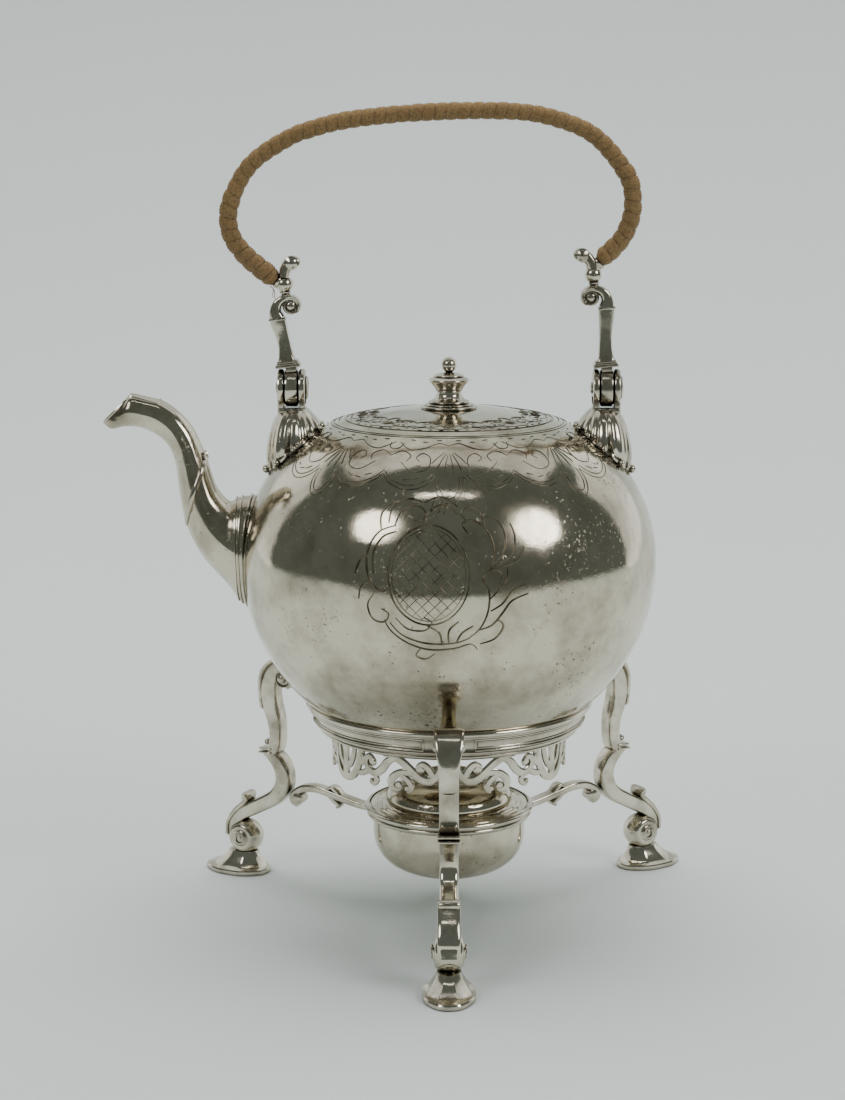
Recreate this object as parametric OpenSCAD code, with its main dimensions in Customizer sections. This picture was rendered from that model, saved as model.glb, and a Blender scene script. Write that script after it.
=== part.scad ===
// Silver tea kettle with a swing handle, on its three-legged stand with a spirit lamp.
// Millimetres, +Z up, origin on the axis of kettle and stand at table level.
// The spout points along -X and one leg points along -Y.

/* [Kettle body] */
// Widest outside diameter of the kettle
body_d = 183.4; // [150:0.1:222]
// Radius of the arc below the widest point
lower_arc_r = 84.7; // [75:0.1:95]
// Radius of the arc above the widest point
shoulder_arc_r = 66; // [60:0.5:76]
// Radius of the flat bottom
base_r = 34; // [20:1:40]
// Thickness of the raised silver sheet
body_wall = 1.2; // [0.8:0.1:2]
// Number of straining holes round the middle one
strainer_ring_holes = 6; // [5:1:8]
// Diameter of one straining hole
strainer_hole_d = 5.2; // [4:0.1:6]

/* [Lid] */
// Radius of the opening that the lid closes
mouth_r = 48.4; // [40:0.1:54]
// Radius of the lid's gentle dome
crown_r = 217; // [180:1:260]
// Thickness of the lid
lid_wall = 1.2; // [0.8:0.1:2]
// Depth of the bezel that holds the lid in the mouth
bezel_depth = 9; // [5:0.5:14]
// Gap round the lid and its bezel
lid_gap = 0.3; // [0.2:0.05:0.6]
// Height of the finial above the lid
finial_h = 22; // [17:0.5:27]

/* [Spout] */
// Reach of the spout beyond the kettle's side
spout_reach = 60.4; // [50:0.1:73]
// Height of the spout from the bottom of its root to its lip
spout_rise = 97; // [80:0.5:116]
// Half the width of the spout at its root
spout_half_width = 17; // [14:0.5:20]
// Thickness of the spout's sheet
spout_wall = 1.2; // [0.8:0.1:1.6]

/* [Handle] */
// How far each hinge is set in from the kettle's widest radius
hinge_inset = 22.8; // [18:0.1:27]
// Height of the hinge pins above the shoulder
hinge_rise = 26.1; // [23:0.1:31]
// Radius of the hinge knuckles
knuckle_r = 8.2; // [7:0.1:9]
// Thickness of the tongue in the middle of each hinge
tongue_t = 5.8; // [4.5:0.1:7]
// Thickness of each plate of the fork
fork_t = 2.8; // [2:0.1:3.6]
// Diameter of the hinge pins
pin_d = 3.2; // [2.6:0.1:4]
// Radial running clearance between pin and tongue
pin_clear = 0.06; // [0.02:0.01:0.1]
// Side clearance between tongue and fork plates
side_clear = 0.3; // [0.2:0.05:0.5]
// Length of an arm, from its pin to its upper scroll
arm_len = 56; // [47:0.5:67]
// Lean of the handle towards the spout
handle_lean = 5.4; // [0:0.1:8]
// Difference between the arms, as the old handle is bent
arm_skew = 2.2; // [0:0.1:4]
// Rise of the wrapped grip above the arms
grip_rise = 68; // [55:0.5:82]
// Diameter of the wound grip
grip_d = 7.8; // [6.6:0.1:10]
// Diameter of the metal core inside the grip
core_d = 5; // [3.5:0.1:5.6]

/* [Stand] */
// Outside radius of the ring's top rim
ring_r = 64.3; // [55:0.1:70]
// Height of the ring's top rim above the table
ring_z = 98; // [90:0.5:118]
// Gap between the kettle and the rim that it sits in
seat_gap = 0.3; // [0.2:0.05:0.5]
// Outside radius of the pierced apron
apron_r = 52.6; // [46:0.1:56]
// Drop of the apron below the ring's top rim
apron_drop = 32; // [26:0.5:36]
// Thickness of the apron's sheet
apron_wall = 1.3; // [1:0.1:2]
// Distance of each foot's middle from the axis
foot_reach = 113; // [100:0.5:136]
// Width of the leg castings
leg_width = 8.2; // [6.8:0.1:10]
// Width of the scroll drum above each foot
drum_width = 12.8; // [10:0.1:16]
// Length of a foot, measured outwards
foot_len = 32.8; // [26:0.2:39]
// Width of a foot
foot_width = 22.4; // [18:0.2:27]

/* [Lamp] */
// Height of the lamp ring's top edge above the table
lamp_z = 49.3; // [44:0.1:54]
// Outside radius of the lamp ring
lamp_ring_r = 37.7; // [32:0.1:42]
// Depth of the lamp's bowl below the lamp ring's edge
bowl_depth = 32.8; // [26:0.1:38]
// Thickness of the lamp's sheet
lamp_wall = 1; // [0.8:0.1:1.5]
// Gap between the lamp and the ring that holds it
lamp_gap = 0.3; // [0.2:0.05:0.6]
// Outside radius of the neck of the lamp's cover
neck_r = 15.2; // [12.5:0.1:18]
// Diameter of the wick tube
wick_tube_d = 9; // [7:0.5:12]

/* [Hidden] */

$fn = 72;
silver = [0.78, 0.76, 0.71];
wicker = [0.55, 0.44, 0.31];
cotton = [0.9, 0.88, 0.82];
front = 0;
right = 1;
left = 2;
// Directions of the front, right and left legs, set a little unevenly by hand
leg_turn = [-90, 32, 153];

// Places that follow from the sizes above
body_r = body_d / 2;
lower_c = body_r - lower_arc_r;
shoulder_c = body_r - shoulder_arc_r;
rim_t = 2.4;
joint_gap = 0.16;
rim_lip = 1.7;
seat_r = ring_r - rim_t;
belly_z = ring_z - rim_lip + sqrt(pow(lower_arc_r + seat_gap, 2) - pow(seat_r - lower_c, 2));
base_z = belly_z - sqrt(pow(lower_arc_r, 2) - pow(base_r - lower_c, 2));
mouth_z = surface_z(mouth_r);
crown_z = mouth_z - sqrt(pow(crown_r, 2) - pow(mouth_r, 2)) + crown_r;
hinge_x = body_r - hinge_inset;
hinge_z = surface_z(hinge_x) + hinge_rise;
lid_r = mouth_r - lid_gap;
bezel_r = mouth_r - 4.2;

// Height of the shoulder at a distance r from the axis
function surface_z(r) = belly_z + sqrt(pow(shoulder_arc_r, 2) - pow(r - shoulder_c, 2));

// Radius of the kettle's side at a height z
function side_r(z) = z > belly_z ? shoulder_c + sqrt(pow(shoulder_arc_r, 2) - pow(z - belly_z, 2))
    : lower_c + sqrt(pow(lower_arc_r, 2) - pow(z - belly_z, 2));

// Points along an arc, angles in degrees
function arc(c, r, a0, a1, n) = [for (i = [0 : n]) let (a = a0 + (a1 - a0) * i / n) [c[0] + r * cos(a),
    c[1] + r * sin(a)]];

// Points of a smooth curve through p, steps to each span
function smooth(p, steps) = [for (i = [0 : len(p) - 2], k = [0 : steps - 1]) spline_at(p, i, k / steps),
    p[len(p) - 1]];
function spline_at(p, i, t) =
    let (a = p[max(i - 1, 0)], b = p[i], c = p[i + 1], d = p[min(i + 2, len(p) - 1)])
    0.5 * (2 * b + (c - a) * t + (2 * a - 5 * b + 4 * c - d) * t * t + (3 * b - a - 3 * c + d) * t * t * t);

function unit(v) = v / norm(v);
function tangent(p, i) = unit(p[min(i + 1, len(p) - 1)] - p[max(i - 1, 0)]);

// Outline of a bar whose half thickness is the third number of each point
function bar_outline(p) = concat(
    [for (i = [0 : len(p) - 1]) let (t = tangent(p, i)) [p[i][0] - t[1] * p[i][2], p[i][1] + t[0] * p[i][2]]],
    [for (i = [len(p) - 1 : -1 : 0]) let (t = tangent(p, i)) [p[i][0] + t[1] * p[i][2],
        p[i][1] - t[0] * p[i][2]]]);

// Solid through a list of equal rings of points, capped at both ends
module loft(rings) {
    n = len(rings[0]);
    m = len(rings);
    skin = [for (i = [0 : m - 2], j = [0 : n - 1]) each
        [[i * n + j, (i + 1) * n + j, (i + 1) * n + (j + 1) % n], [i * n + j, (i + 1) * n + (j + 1) % n,
            i * n + (j + 1) % n]]];
    caps = [[for (j = [0 : n - 1]) j], [for (j = [n - 1 : -1 : 0]) (m - 1) * n + j]];
    polyhedron([for (ring = rings) each ring], concat(skin, caps));
}

// Tube through rings of its outside and then, going back, rings of its inside
module tube(rings) {
    n = len(rings[0]);
    m = len(rings);
    skin = [for (i = [0 : m - 1], j = [0 : n - 1]) let (k = (i + 1) % m) each
        [[i * n + j, k * n + j, k * n + (j + 1) % n], [i * n + j, k * n + (j + 1) % n, i * n + (j + 1) % n]]];
    polyhedron([for (ring = rings) each ring], skin);
}

// Solid of revolution from [radius, height] points
module turned(points) {
    rotate_extrude() polygon(points);
}

// Flat casting, drawn as [distance from the axis, height] and cut to a width across
module casting(width) {
    rotate([90, 0, 0]) translate([0, 0, -width / 2]) linear_extrude(width) children();
}

// ---------------------------------------------------------------- kettle

// Profile of the kettle, shrunk by inset, from its base to its mouth
function body_side(inset, top_r) =
    let (foot = asin((base_z + inset - belly_z) / (lower_arc_r - inset)),
         top = acos((top_r - shoulder_c) / (shoulder_arc_r - inset)))
    concat(arc([lower_c, belly_z], lower_arc_r - inset, foot, 0, 14),
           [for (i = [1 : 14]) let (a = top * i / 14) [shoulder_c + (shoulder_arc_r - inset) * cos(a),
                                                      belly_z + (shoulder_arc_r - inset) * sin(a)]]);

module kettle_body() {
    inner = body_side(body_wall, mouth_r);
    color(silver) difference() {
        turned(concat([[0, base_z]], body_side(0, mouth_r),
                      [for (i = [len(inner) - 1 : -1 : 0]) inner[i]], [[0, base_z + body_wall]]));
        strainer();
    }
}

// Straining holes through the wall behind the spout: one, a ring, and a ring of twice as many
module strainer() {
    for (ring = [0 : 2], i = [0 : max(ring * strainer_ring_holes, 1) - 1])
        translate([0, ring * 7.2 * sin(i * 360 / max(ring * strainer_ring_holes, 1)),
                   root_mid_z + ring * 7.2 * cos(i * 360 / max(ring * strainer_ring_holes, 1))])
            rotate([0, -90, 0]) cylinder(d = strainer_hole_d, h = body_r + 5);
}

module mouth_ring() {
    seat_z = mouth_z - lid_wall - 0.35;
    under = [for (i = [0 : 3]) let (r = mouth_r + i * 1.2) [r,
        belly_z + sqrt(pow(shoulder_arc_r - body_wall, 2)
                                                                         - pow(r - shoulder_c,
                                                                             2)) - joint_gap]];
    color(silver) turned(concat([[bezel_r + lid_gap, seat_z], [mouth_r - 0.02, seat_z]], under,
                                [[mouth_r + 3.6, seat_z - 4.6], [bezel_r + lid_gap, seat_z - 4.6]]));
}

module lid() {
    top = arc([0, crown_z - crown_r], crown_r, acos(lid_r / crown_r), 90 - 0.01, 12);
    color(silver) difference() {
        turned(concat([[0, crown_z - lid_wall]],
                      [for (i = [12 : -1 : 0]) top[i] - [0, lid_wall]],
                      [for (i = [0 : 11]) top[i]], [[0, crown_z]]));
        translate([0, 0, crown_z - 5]) cylinder(r = stem_r + 0.1, h = 10);
    }
}

module lid_bezel() {
    under = mouth_z - lid_wall;
    rise = crown_r - sqrt(pow(crown_r, 2) - pow(bezel_r, 2));
    top = crown_z - lid_wall - rise - 0.06;
    color(silver) turned([[bezel_r - 1, under - bezel_depth], [bezel_r - 0.3, under - bezel_depth],
                          [bezel_r, under - bezel_depth + 1.2], [bezel_r, top], [bezel_r - 1, top]]);
}

stem_r = 1.6;

// Turned finial: stepped foot, waist, disc and ball on a threaded stem
module finial() {
    k = finial_h / 22;
    ball_r = 3.4 * k;
    ball_z = crown_z + finial_h - ball_r;
    foot_r = 12.4;
    drop = crown_r - sqrt(pow(crown_r, 2) - pow(foot_r, 2));
    steps = [[foot_r, 0.4], [11.2, 0.9], [9.4, 1.5], [8.8, 2.8], [6.8, 3.6], [6, 4.6], [5.4, 5.4], [5.2,
        6.3], [5.5, 7.4],
             [6.6, 9], [8, 10.6], [8.7, 11.9], [8.6, 12.5], [7.6, 13.1], [6.5, 13.5], [6.2, 14.3], [4.2,
                 14.9], [2.4, 15.3]];
    color(silver) turned(concat(
        [[0, crown_z - 7.5], [stem_r, crown_z - 7.5], [stem_r, crown_z + 0.05],
         [8, crown_z - 0.1], [foot_r, crown_z - drop + 0.1]],
        [for (s = steps) [s[0], crown_z + s[1] * k]],
        arc([0, ball_z], ball_r, -52, 90 - 0.01, 12), [[0, ball_z + ball_r]]));
}

module finial_nut() {
    color(silver) translate([0, 0, crown_z - lid_wall - 3.3]) difference() {
        cylinder(r = 4.2, h = 3, $fn = 6);
        translate([0, 0, -1]) cylinder(r = stem_r + 0.05, h = 6, $fn = 48);
    }
}

// ---------------------------------------------------------------- spout

// The spout's outline on a grid: [reach, rise] above and below, then its half width
spout_grid = [[[0.03, 0.535], [0.02, 0.03], 1], [[0.075, 0.505], [0.1, 0.115], 0.9], [[0.13, 0.53], [0.21,
    0.19], 0.82],
              [[0.18, 0.575], [0.3, 0.26], 0.75], [[0.215, 0.635], [0.38, 0.355], 0.68], [[0.24, 0.69],
                  [0.43, 0.455], 0.62],
              [[0.285, 0.765], [0.455, 0.565], 0.56], [[0.345, 0.845], [0.48, 0.68], 0.5], [[0.44, 0.915],
                  [0.53, 0.765], 0.46],
              [[0.555, 0.965], [0.62, 0.815], 0.43], [[0.67, 0.985], [0.735, 0.845], 0.42], [[0.775, 1],
                  [0.84, 0.85], 0.4],
              [[0.79, 0.998], [0.94, 0.838], 0.3], [[0.8, 0.985], [1, 0.868], 0.2]];
spout_foot_z = belly_z - 23.5;
root_mid_z = spout_foot_z + 0.28 * spout_rise;
spout_sides = 20;

function spout_place(g) = [-(body_r + spout_reach * g[0]), spout_foot_z + spout_rise * g[1]];

// One ring of the spout, grown outwards by grow
function spout_ring(g, grow) =
    let (u = spout_place(g[0]), l = spout_place(g[1]), mid = (u + l) / 2, d = unit(u - l),
        h = norm(u - l) / 2 + grow,
         w = spout_half_width * g[2] + grow)
    [for (i = [0 : spout_sides - 1]) let (a = i * 360 / spout_sides, c = pow(abs(cos(a)),
        0.85) * sign(cos(a)))
        [mid[0] + d[0] * h * c, w * sin(a), mid[1] + d[1] * h * c]];

// The ring where the spout meets the kettle's side
function root_ring(grow, gap) = [for (p = spout_ring(spout_grid[0], grow))
    [-sqrt(pow(side_r(p[2]) + gap, 2) - pow(p[1], 2)), p[1], p[2]]];

module spout() {
    last = len(spout_grid) - 1;
    outside = [root_ring(1.5, joint_gap), for (i = [1 : last]) spout_ring(spout_grid[i], 0)];
    inside = [for (i = [last : -1 : 1]) spout_ring(spout_grid[i], -spout_wall), root_ring(1.5 - spout_wall,
        joint_gap)];
    color(silver) tube(concat(outside, inside));
}

// Reeded band that covers the joint of spout and kettle
module spout_root_band() {
    color(silver) tube([root_ring(1.6, joint_gap + 0.1), root_ring(3.2, joint_gap + 0.1), root_ring(3.4,
        1.3), root_ring(2.4, 2.3), root_ring(1.6, 2.5)]);
}

// ---------------------------------------------------------------- handle

fork_out = tongue_t / 2 + side_clear + fork_t;

// Cast mount on the shoulder, with the fork of the hinge
module handle_socket(side) {
    color(silver) difference() {
        union() {
            loft(socket_leaf(side));
            for (s = [-1, 1]) translate([side * hinge_x + s * (tongue_t / 2 + side_clear + fork_t / 2), 0,
                0]) fork_plate();
        }
        translate([side * hinge_x, 0, hinge_z]) rotate([0, 90, 0])
            cylinder(r = pin_d / 2 + 0.02, h = 30, center = true, $fn = 48);
    }
}

module fork_plate() {
    translate([-fork_t / 2, 0, 0]) {
        translate([0, 0, hinge_z]) rotate([0, 90, 0]) cylinder(r = knuckle_r, h = fork_t);
        translate([0, -fork_foot / 2, socket_top - 2]) cube([fork_t, fork_foot, knuckle_r + 2]);
    }
}

fork_foot = 10;
socket_top = hinge_z - knuckle_r - 1;
socket_size = [10.6, 16];
socket_inset = 1.6;

// Rings of the hooded mount: [share of its size, thickness, blend towards the flat top, outward bulge]
socket_steps = [[0.06, 0, 0, 0], [0.3, 0, 0, 0], [0.55, 0, 0, 0], [0.78, 0, 0, 0], [1, 0, 0, 0], [1.02,
    2.6, 0, 0.05],
                [1, 5.6, 0, 0.15], [0.96, 9, 0.08, 0.22], [0.86, 12.6, 0.25, 0.2], [0.74, 15, 0.55, 0.12],
                    [0.62, 15, 0.8, 0.04],
                [0.54, 15, 1, 0], [0.2, 15, 1, 0]];

// The mount follows the shoulder below and bulges on its outer side
function socket_leaf(side) = [for (k = socket_steps) [for (i = [0 : 23])
    let (a = side * i * 15, lobe = 1 + 0.08 * cos(6 * a) * (1 - k[2]), grow = (k[0] + k[3] * max(cos(a),
        0)) * lobe,
         x = hinge_x - socket_inset + socket_size[0] * grow * cos(a), y = socket_size[1] * grow * sin(a),
         under = surface_z(min(norm([x, y]), body_r - 0.5)),
             thick = joint_gap + k[1] * (0.62 + 0.38 * cos(a)))
    [side * x, y, (1 - k[2]) * (under + thick) + k[2] * socket_top]]];

module hinge_pin(side) {
    grip = 2 * fork_out;
    color(silver) translate([side * hinge_x - fork_out, 0, hinge_z]) rotate([0, 90, 0]) {
        cylinder(r = pin_d / 2, h = grip, $fn = 48);
        translate([0, 0, -1.2]) cylinder(r = pin_d / 2 + 1.2, h = 1.18, $fn = 48);
        translate([0, 0, -0.1]) cylinder(r = pin_d / 2, h = 1, $fn = 48);
        translate([0, 0, grip + 0.02]) cylinder(r = 5.2, h = 1.4);
        translate([0, 0, grip - 0.1]) cylinder(r = pin_d / 2, h = 1, $fn = 48);
    }
}

// Everything above the hinge is drawn outward = +X, then leaned and moved to its hinge
module arm_frame(side) {
    translate([side * hinge_x, 0, hinge_z]) rotate([0, -handle_lean, 0]) mirror([side < 0 ? 1 : 0, 0,
        0]) children();
}

module handle_arm(side) {
    k = arm_len / 56;
    lift = side * arm_skew;
    eye = [-3.6, 0, 38 * k + lift];
    collar = [11.2, 9, 2.6];
    collar_z = knuckle_r + side_clear + 6.1 * sin(handle_lean);
    color(silver) difference() {
        union() {
            translate([side * hinge_x - tongue_t / 2, 0, hinge_z]) rotate([0, 90,
                0]) cylinder(r = knuckle_r, h = tongue_t);
            arm_frame(side) {
                translate([0.4, 0, collar_z + collar[2] / 2]) cube(collar, center = true);
                translate([side * knuckle_r * sin(handle_lean), 0, knuckle_r - 0.2]) cube([tongue_t - 1,
                    collar[1], 3], center = true);
                casting(7) polygon(bar_outline(smooth([[0.8, knuckle_r + 2, 3.6], [0.9, 15 * k, 2.9],
                    [1.7, 24 * k + lift * 0.4, 2.8], [3.2, 32 * k + lift, 3.2], [2.4, 38 * k + lift, 3],
                    [-0.6, 41 * k + lift, 2.2], [-3.6, 41.4 * k + lift, 1.6]], 4)));
                translate(eye) rotate([90, 0, 0]) cylinder(r = 4.5, h = 8, center = true);
                translate(eye) rotate([90, 0, 0]) cylinder(r = 2.2, h = 9.6, center = true);
                translate(eye + [1.6, 0, 3 * k]) cylinder(r = 2.6, h = 5 * k);
                translate([-1.6, 0, 47.4 * k + lift]) sphere(r = 3.7);
                translate([-2.4, 0, 49 * k + lift]) rotate([0, -24, 0]) cylinder(r = 2.3, h = 6 * k);
                translate([-5.4, 0, 56.4 * k + lift]) rotate([90, 0, 0]) cylinder(r = 3.2, h = 6.4,
                    center = true);
                translate([-2, 0, stub_up(side)]) rotate([0, stub_turn, 0]) cylinder(r = core_d / 2,
                    h = stub);
                translate([-2, 0, stub_up(side)]) sphere(r = core_d / 2 + 0.3);
            }
        }
        translate([side * hinge_x, 0, hinge_z]) rotate([0, 90, 0])
            cylinder(r = pin_d / 2 + pin_clear, h = 30, center = true, $fn = 48);
    }
}

// Place of a point of the arm, outward and up from its pin, once leaned
function arm_place(side, out, up) = [side * hinge_x + side * out * cos(handle_lean) - up * sin(handle_lean),
                                     hinge_z + up * cos(handle_lean) + side * out * sin(handle_lean)];
stub = 5;
stub_turn = 48;
function stub_up(side) = arm_len * 0.852 + side * arm_skew * 1.77;
function on_stub(side, run) = arm_place(side, -2 + run * sin(stub_turn),
    stub_up(side) + run * cos(stub_turn));
grip_start = on_stub(-1, stub + 0.4);
grip_end = on_stub(1, stub + 0.4);
grip_half = (grip_end[0] - grip_start[0]) / 2;

// The grip on a grid of half its span and its rise
grip_grid = [[-1.15, 0.066], [-1.21, 0.13], [-1.255, 0.195], [-1.283, 0.28], [-1.282, 0.38], [-1.24,
    0.507], [-1.17, 0.632],
             [-1.07, 0.731], [-0.9, 0.838], [-0.79, 0.88], [-0.57, 0.94], [-0.24, 0.98], [0.09, 1], [0.42,
                 1], [0.64, 0.975],
             [0.86, 0.904], [0.985, 0.82], [1.095, 0.696], [1.173, 0.57], [1.195, 0.437], [1.18, 0.32],
                 [1.124, 0.193]];
grip_mid = (grip_start + grip_end) / 2;
grip_path = smooth(concat([grip_start, on_stub(-1, stub + 3)],
                          [for (g = grip_grid) grip_mid + [g[0] * grip_half, g[1] * grip_rise]],
                          [on_stub(1, stub + 3), grip_end]), 2);

function grip_ring(i, r) = let (t = tangent(grip_path, i)) [for (j = [0 : 11]) let (a = j * 30)
    [grip_path[i][0] - t[1] * r * cos(a), r * sin(a), grip_path[i][1] + t[0] * r * cos(a)]];

module handle_core() {
    color(silver) loft([for (i = [0 : len(grip_path) - 1]) grip_ring(i, core_d / 2)]);
}

module handle_wrap() {
    last = len(grip_path) - 1;
    color(wicker) tube(concat([for (i = [0 : last]) grip_ring(i, grip_d / 2)],
                              [for (i = [last : -1 : 0]) grip_ring(i, core_d / 2 + 0.05)]));
}

// ---------------------------------------------------------------- stand

// Moulded ring: rim, cove and reeds, hollow to take the kettle's round bottom
module stand_ring() {
    h = ring_z;
    outside = [[ring_r - 1.2, h], [ring_r - 0.3, h - 0.5], [ring_r, h - 1.4], [ring_r - 0.4, h - 2.6],
        [ring_r - 2, h - 3.4],
               [ring_r - 3.2, h - 6.4], [ring_r - 5, h - 9.2], [ring_r - 6.2, h - 11.2], [ring_r - 7.2,
                   h - 12.4],
               [ring_r - 8.2, h - 14.4], [ring_r - 9.8, h - 16.2], [apron_r + 1, h - 16.6]];
    color(silver) difference() {
        turned(concat([[apron_r + 0.02, h - 16.6], [apron_r + 0.02, h - 8], [seat_r - 3, h - 2.4],
            [seat_r - 0.6, h]],
                      outside));
        turned(concat([[0, base_z]], arc([lower_c, belly_z], lower_arc_r + seat_gap,
                                         asin((base_z - belly_z) / (lower_arc_r + seat_gap)), -30, 40),
                                             [[0, belly_z]]));
    }
}

// Pierced apron: scrolled lobes between round and leaf-shaped piercings
module stand_apron() {
    top = ring_z - 9;
    low = ring_z - apron_drop;
    color(silver) difference() {
        rotate_extrude() translate([apron_r - apron_wall, low]) square([apron_wall, top - low]);
        for (third = [0 : 2], flip = [-1, 1]) rotate([0, 0, -90 + third * 120]) mirror([0,
            flip < 0 ? 1 : 0, 0]) {
            piercing(9, low + 11.5) scroll_hole(3.2, 8);
            piercing(22, low + 6.5) scroll_hole(2.6, 7);
            piercing(33, low + 11.5) scroll_hole(2.8, 5);
            piercing(44, low + 9) scroll_hole(2.3, 8);
            piercing(54, low + 10) scroll_hole(2, 9);
            for (notch = [[11, -1.5, 5.2], [31.5, -1, 3.2], [49, -1, 3], [59.5, -1.2, 2.4]])
                piercing(notch[0], low + notch[1]) circle(r = notch[2]);
        }
    }
}

// Cuts its 2D child through the apron at a turn and a height
module piercing(turn, z) {
    rotate([0, 0, turn]) translate([apron_r - 5, 0, z]) rotate([90, 0, 90]) linear_extrude(10) children();
}

module scroll_hole(r, length) {
    circle(r = r, $fn = 32);
    polygon([[-r, 0], [r, 0], [r * 0.2, length], [-r * 0.5, length * 0.9]]);
}

// Legs are drawn on a grid of the foot's reach and the ring's height
leg_kx = foot_reach / 113;
leg_kz = ring_z / 98;
lip_z = 61 * leg_kz;
function on_leg(points) = [for (p = points) [p[0] * leg_kx, p[1] * leg_kz, p[2]]];

top_line = on_leg([[93.2, 62.2, 4.9], [90.4, 64.4, 3.4], [89.8, 69, 3.1], [90.4, 76, 3.5], [92.4, 83, 4],
    [93.4, 90, 4.2],
                   [92.4, 97, 4.1], [89, 102, 3.7], [84.6, 103, 3.2], [81, 100, 2.7], [81.2, 95.8, 2.3],
                       [84.6, 94.2, 1.9]]);
tongue_line = on_leg([[96.6, 81.6, 0.9], [97.5, 86, 1.1], [97.5, 92, 1.1], [96.2, 98.4, 1.1], [93.2, 103,
    1.1], [89.4, 105.6, 0.9]]);
scroll_line = on_leg([[94.6, 60.4, 1.2], [91.6, 58.6, 3], [88.2, 55.4, 3.6], [86.3, 50.4, 3.8], [86.8,
    44.6, 4], [90.4, 39.4, 3.9],
                      [96.6, 35.6, 3.7], [103.4, 32, 3.6], [109.6, 28.4, 3.3], [114.3, 23.4, 2.8], [116.4,
                          17.4, 2.2]]);

module leg_place(which) {
    rotate([0, 0, leg_turn[which]]) children();
}

// Upper scroll: rises from the joint, turns over and curls back, with a strut to the ring
module leg_top(which) {
    eye = top_line[11];
    strut_z = 95.4 * leg_kz;
    color(silver) leg_place(which) {
        difference() {
            casting(leg_width) polygon(bar_outline(smooth(top_line, 3)));
            translate([0, -50, lip_z - 50 + 0.02]) cube([200, 100, 50]);
        }
        casting(drum_width) polygon(bar_outline(smooth(tongue_line, 3)));
        translate([eye[0] + 1, 0, eye[1] + 1]) rotate([90, 0, 0]) cylinder(r = 2.6, h = drum_width + 3,
            center = true, $fn = 48);
        difference() {
            casting(leg_width) polygon([[ring_r - 6, strut_z - 5.4], [eye[0] - 4.6, strut_z - 2],
                [eye[0] - 4.6, strut_z + 3],
                                        [ring_r + 1, strut_z - 1.6], [ring_r - 6, strut_z - 1.8]]);
            translate([0, 0, strut_z - 20]) cylinder(r = ring_r - 1.98, h = 40);
        }
    }
}

// Lower scroll: sweeps out and ends round the drum that stands on the foot
module leg_scroll(which) {
    drum = [108.4 * leg_kx, 17.4 * leg_kz];
    color(silver) leg_place(which) {
        difference() {
            casting(leg_width) polygon(bar_outline(smooth(scroll_line, 3)));
            translate([0, -50, lip_z]) cube([200, 100, 50]);
        }
        casting(drum_width) translate(drum) circle(r = 8.3);
        casting(drum_width + 3.6) translate(drum + [1.2, -1]) circle(r = 2.8);
        casting(drum_width - 3) polygon(bar_outline(smooth([[117 * leg_kx, 20 * leg_kz, 1.2],
            [115.6 * leg_kx, 26 * leg_kz, 1.2],
            [110.6 * leg_kx, 31.6 * leg_kz, 1.4], [106.6 * leg_kx, 35.6 * leg_kz, 1.2]], 3)));
        casting(drum_width - 4) translate([106.4 * leg_kx, 36.4 * leg_kz]) circle(r = 1.9);
    }
}

// Outline of a foot at a share k of its full size
function foot_oval(k) = [for (i = [0 : 31]) let (a = i * 11.25, lobe = 1 + 0.035 * cos(8 * a))
    [foot_len / 2 * k * lobe * cos(a), foot_width / 2 * k * lobe * sin(a)]];

module foot(which) {
    edge = 2.8;
    top = 10.4 * leg_kz;
    color(silver) leg_place(which) translate([foot_reach, 0, 0]) difference() {
        union() {
            linear_extrude(edge) polygon(foot_oval(1));
            loft([for (k = [[0.93, edge - 0.2], [0.72, 4.6], [0.56, 6.8], [0.46, 8.8], [0.44, top]])
                [for (p = foot_oval(k[0])) [p[0] - (1 - k[0]) * 6, p[1], k[1]]]]);
        }
        translate([(108.4 - 113) * leg_kx, 0, 17.4 * leg_kz]) rotate([90, 0, 0]) cylinder(r = 8.35, h = 40,
            center = true);
        translate([(108.4 - 113) * leg_kx + 1.2, 0, 17.4 * leg_kz - 1]) rotate([90, 0,
            0]) cylinder(r = 2.85, h = 40, center = true);
    }
}

// S-scroll that carries the lamp ring from a leg
module lamp_bracket(which) {
    start = lamp_ring_r + 0.02;
    span = 83.6 * leg_kx - start;
    z = lamp_z - 8;
    line = [[start, z - 0.6, 1.6], [start + span * 0.2, z + 0.2, 1.7], [start + span * 0.46, z + 2.6, 1.8],
            [start + span * 0.68, z + 4.4, 1.9], [start + span * 0.84, z + 3.4, 1.9], [start + span * 0.94,
                z - 0.4, 1.9]];
    color(silver) leg_place(which) {
        casting(leg_width - 3) polygon(bar_outline(smooth(line, 3)));
        casting(leg_width - 3) translate([start + span * 0.89, z - 1.2]) circle(r = 3, $fn = 32);
        casting(leg_width - 3) translate([start + span * 0.5, z + 4.6]) circle(r = 1.5, $fn = 32);
        casting(leg_width - 3) translate([start + span * 0.42, z + 0.4]) circle(r = 1.5, $fn = 32);
    }
}

// Ring that the lamp drops into
module lamp_ring() {
    seat = lamp_z - 2.1;
    color(silver) turned([[lamp_ring_r - 3.1, seat - 2.6], [lamp_ring_r - 1.8, lamp_z - 5.8],
        [lamp_ring_r - 0.7, lamp_z - 5],
                          [lamp_ring_r, lamp_z - 3], [lamp_ring_r, lamp_z - 1.2], [lamp_ring_r - 0.5, lamp_z],
                          [lamp_ring_r - 1.7, lamp_z], [lamp_ring_r - 1.7, seat], [lamp_ring_r - 3.1, seat]]);
}

// ---------------------------------------------------------------- lamp

bowl_r = lamp_ring_r - 3.1 - lamp_gap;
flange_r = lamp_ring_r - 1.7 - lamp_gap;
flange_z = lamp_z - 2.1 + 0.02;
plate_z = flange_z + 11.6;

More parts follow.
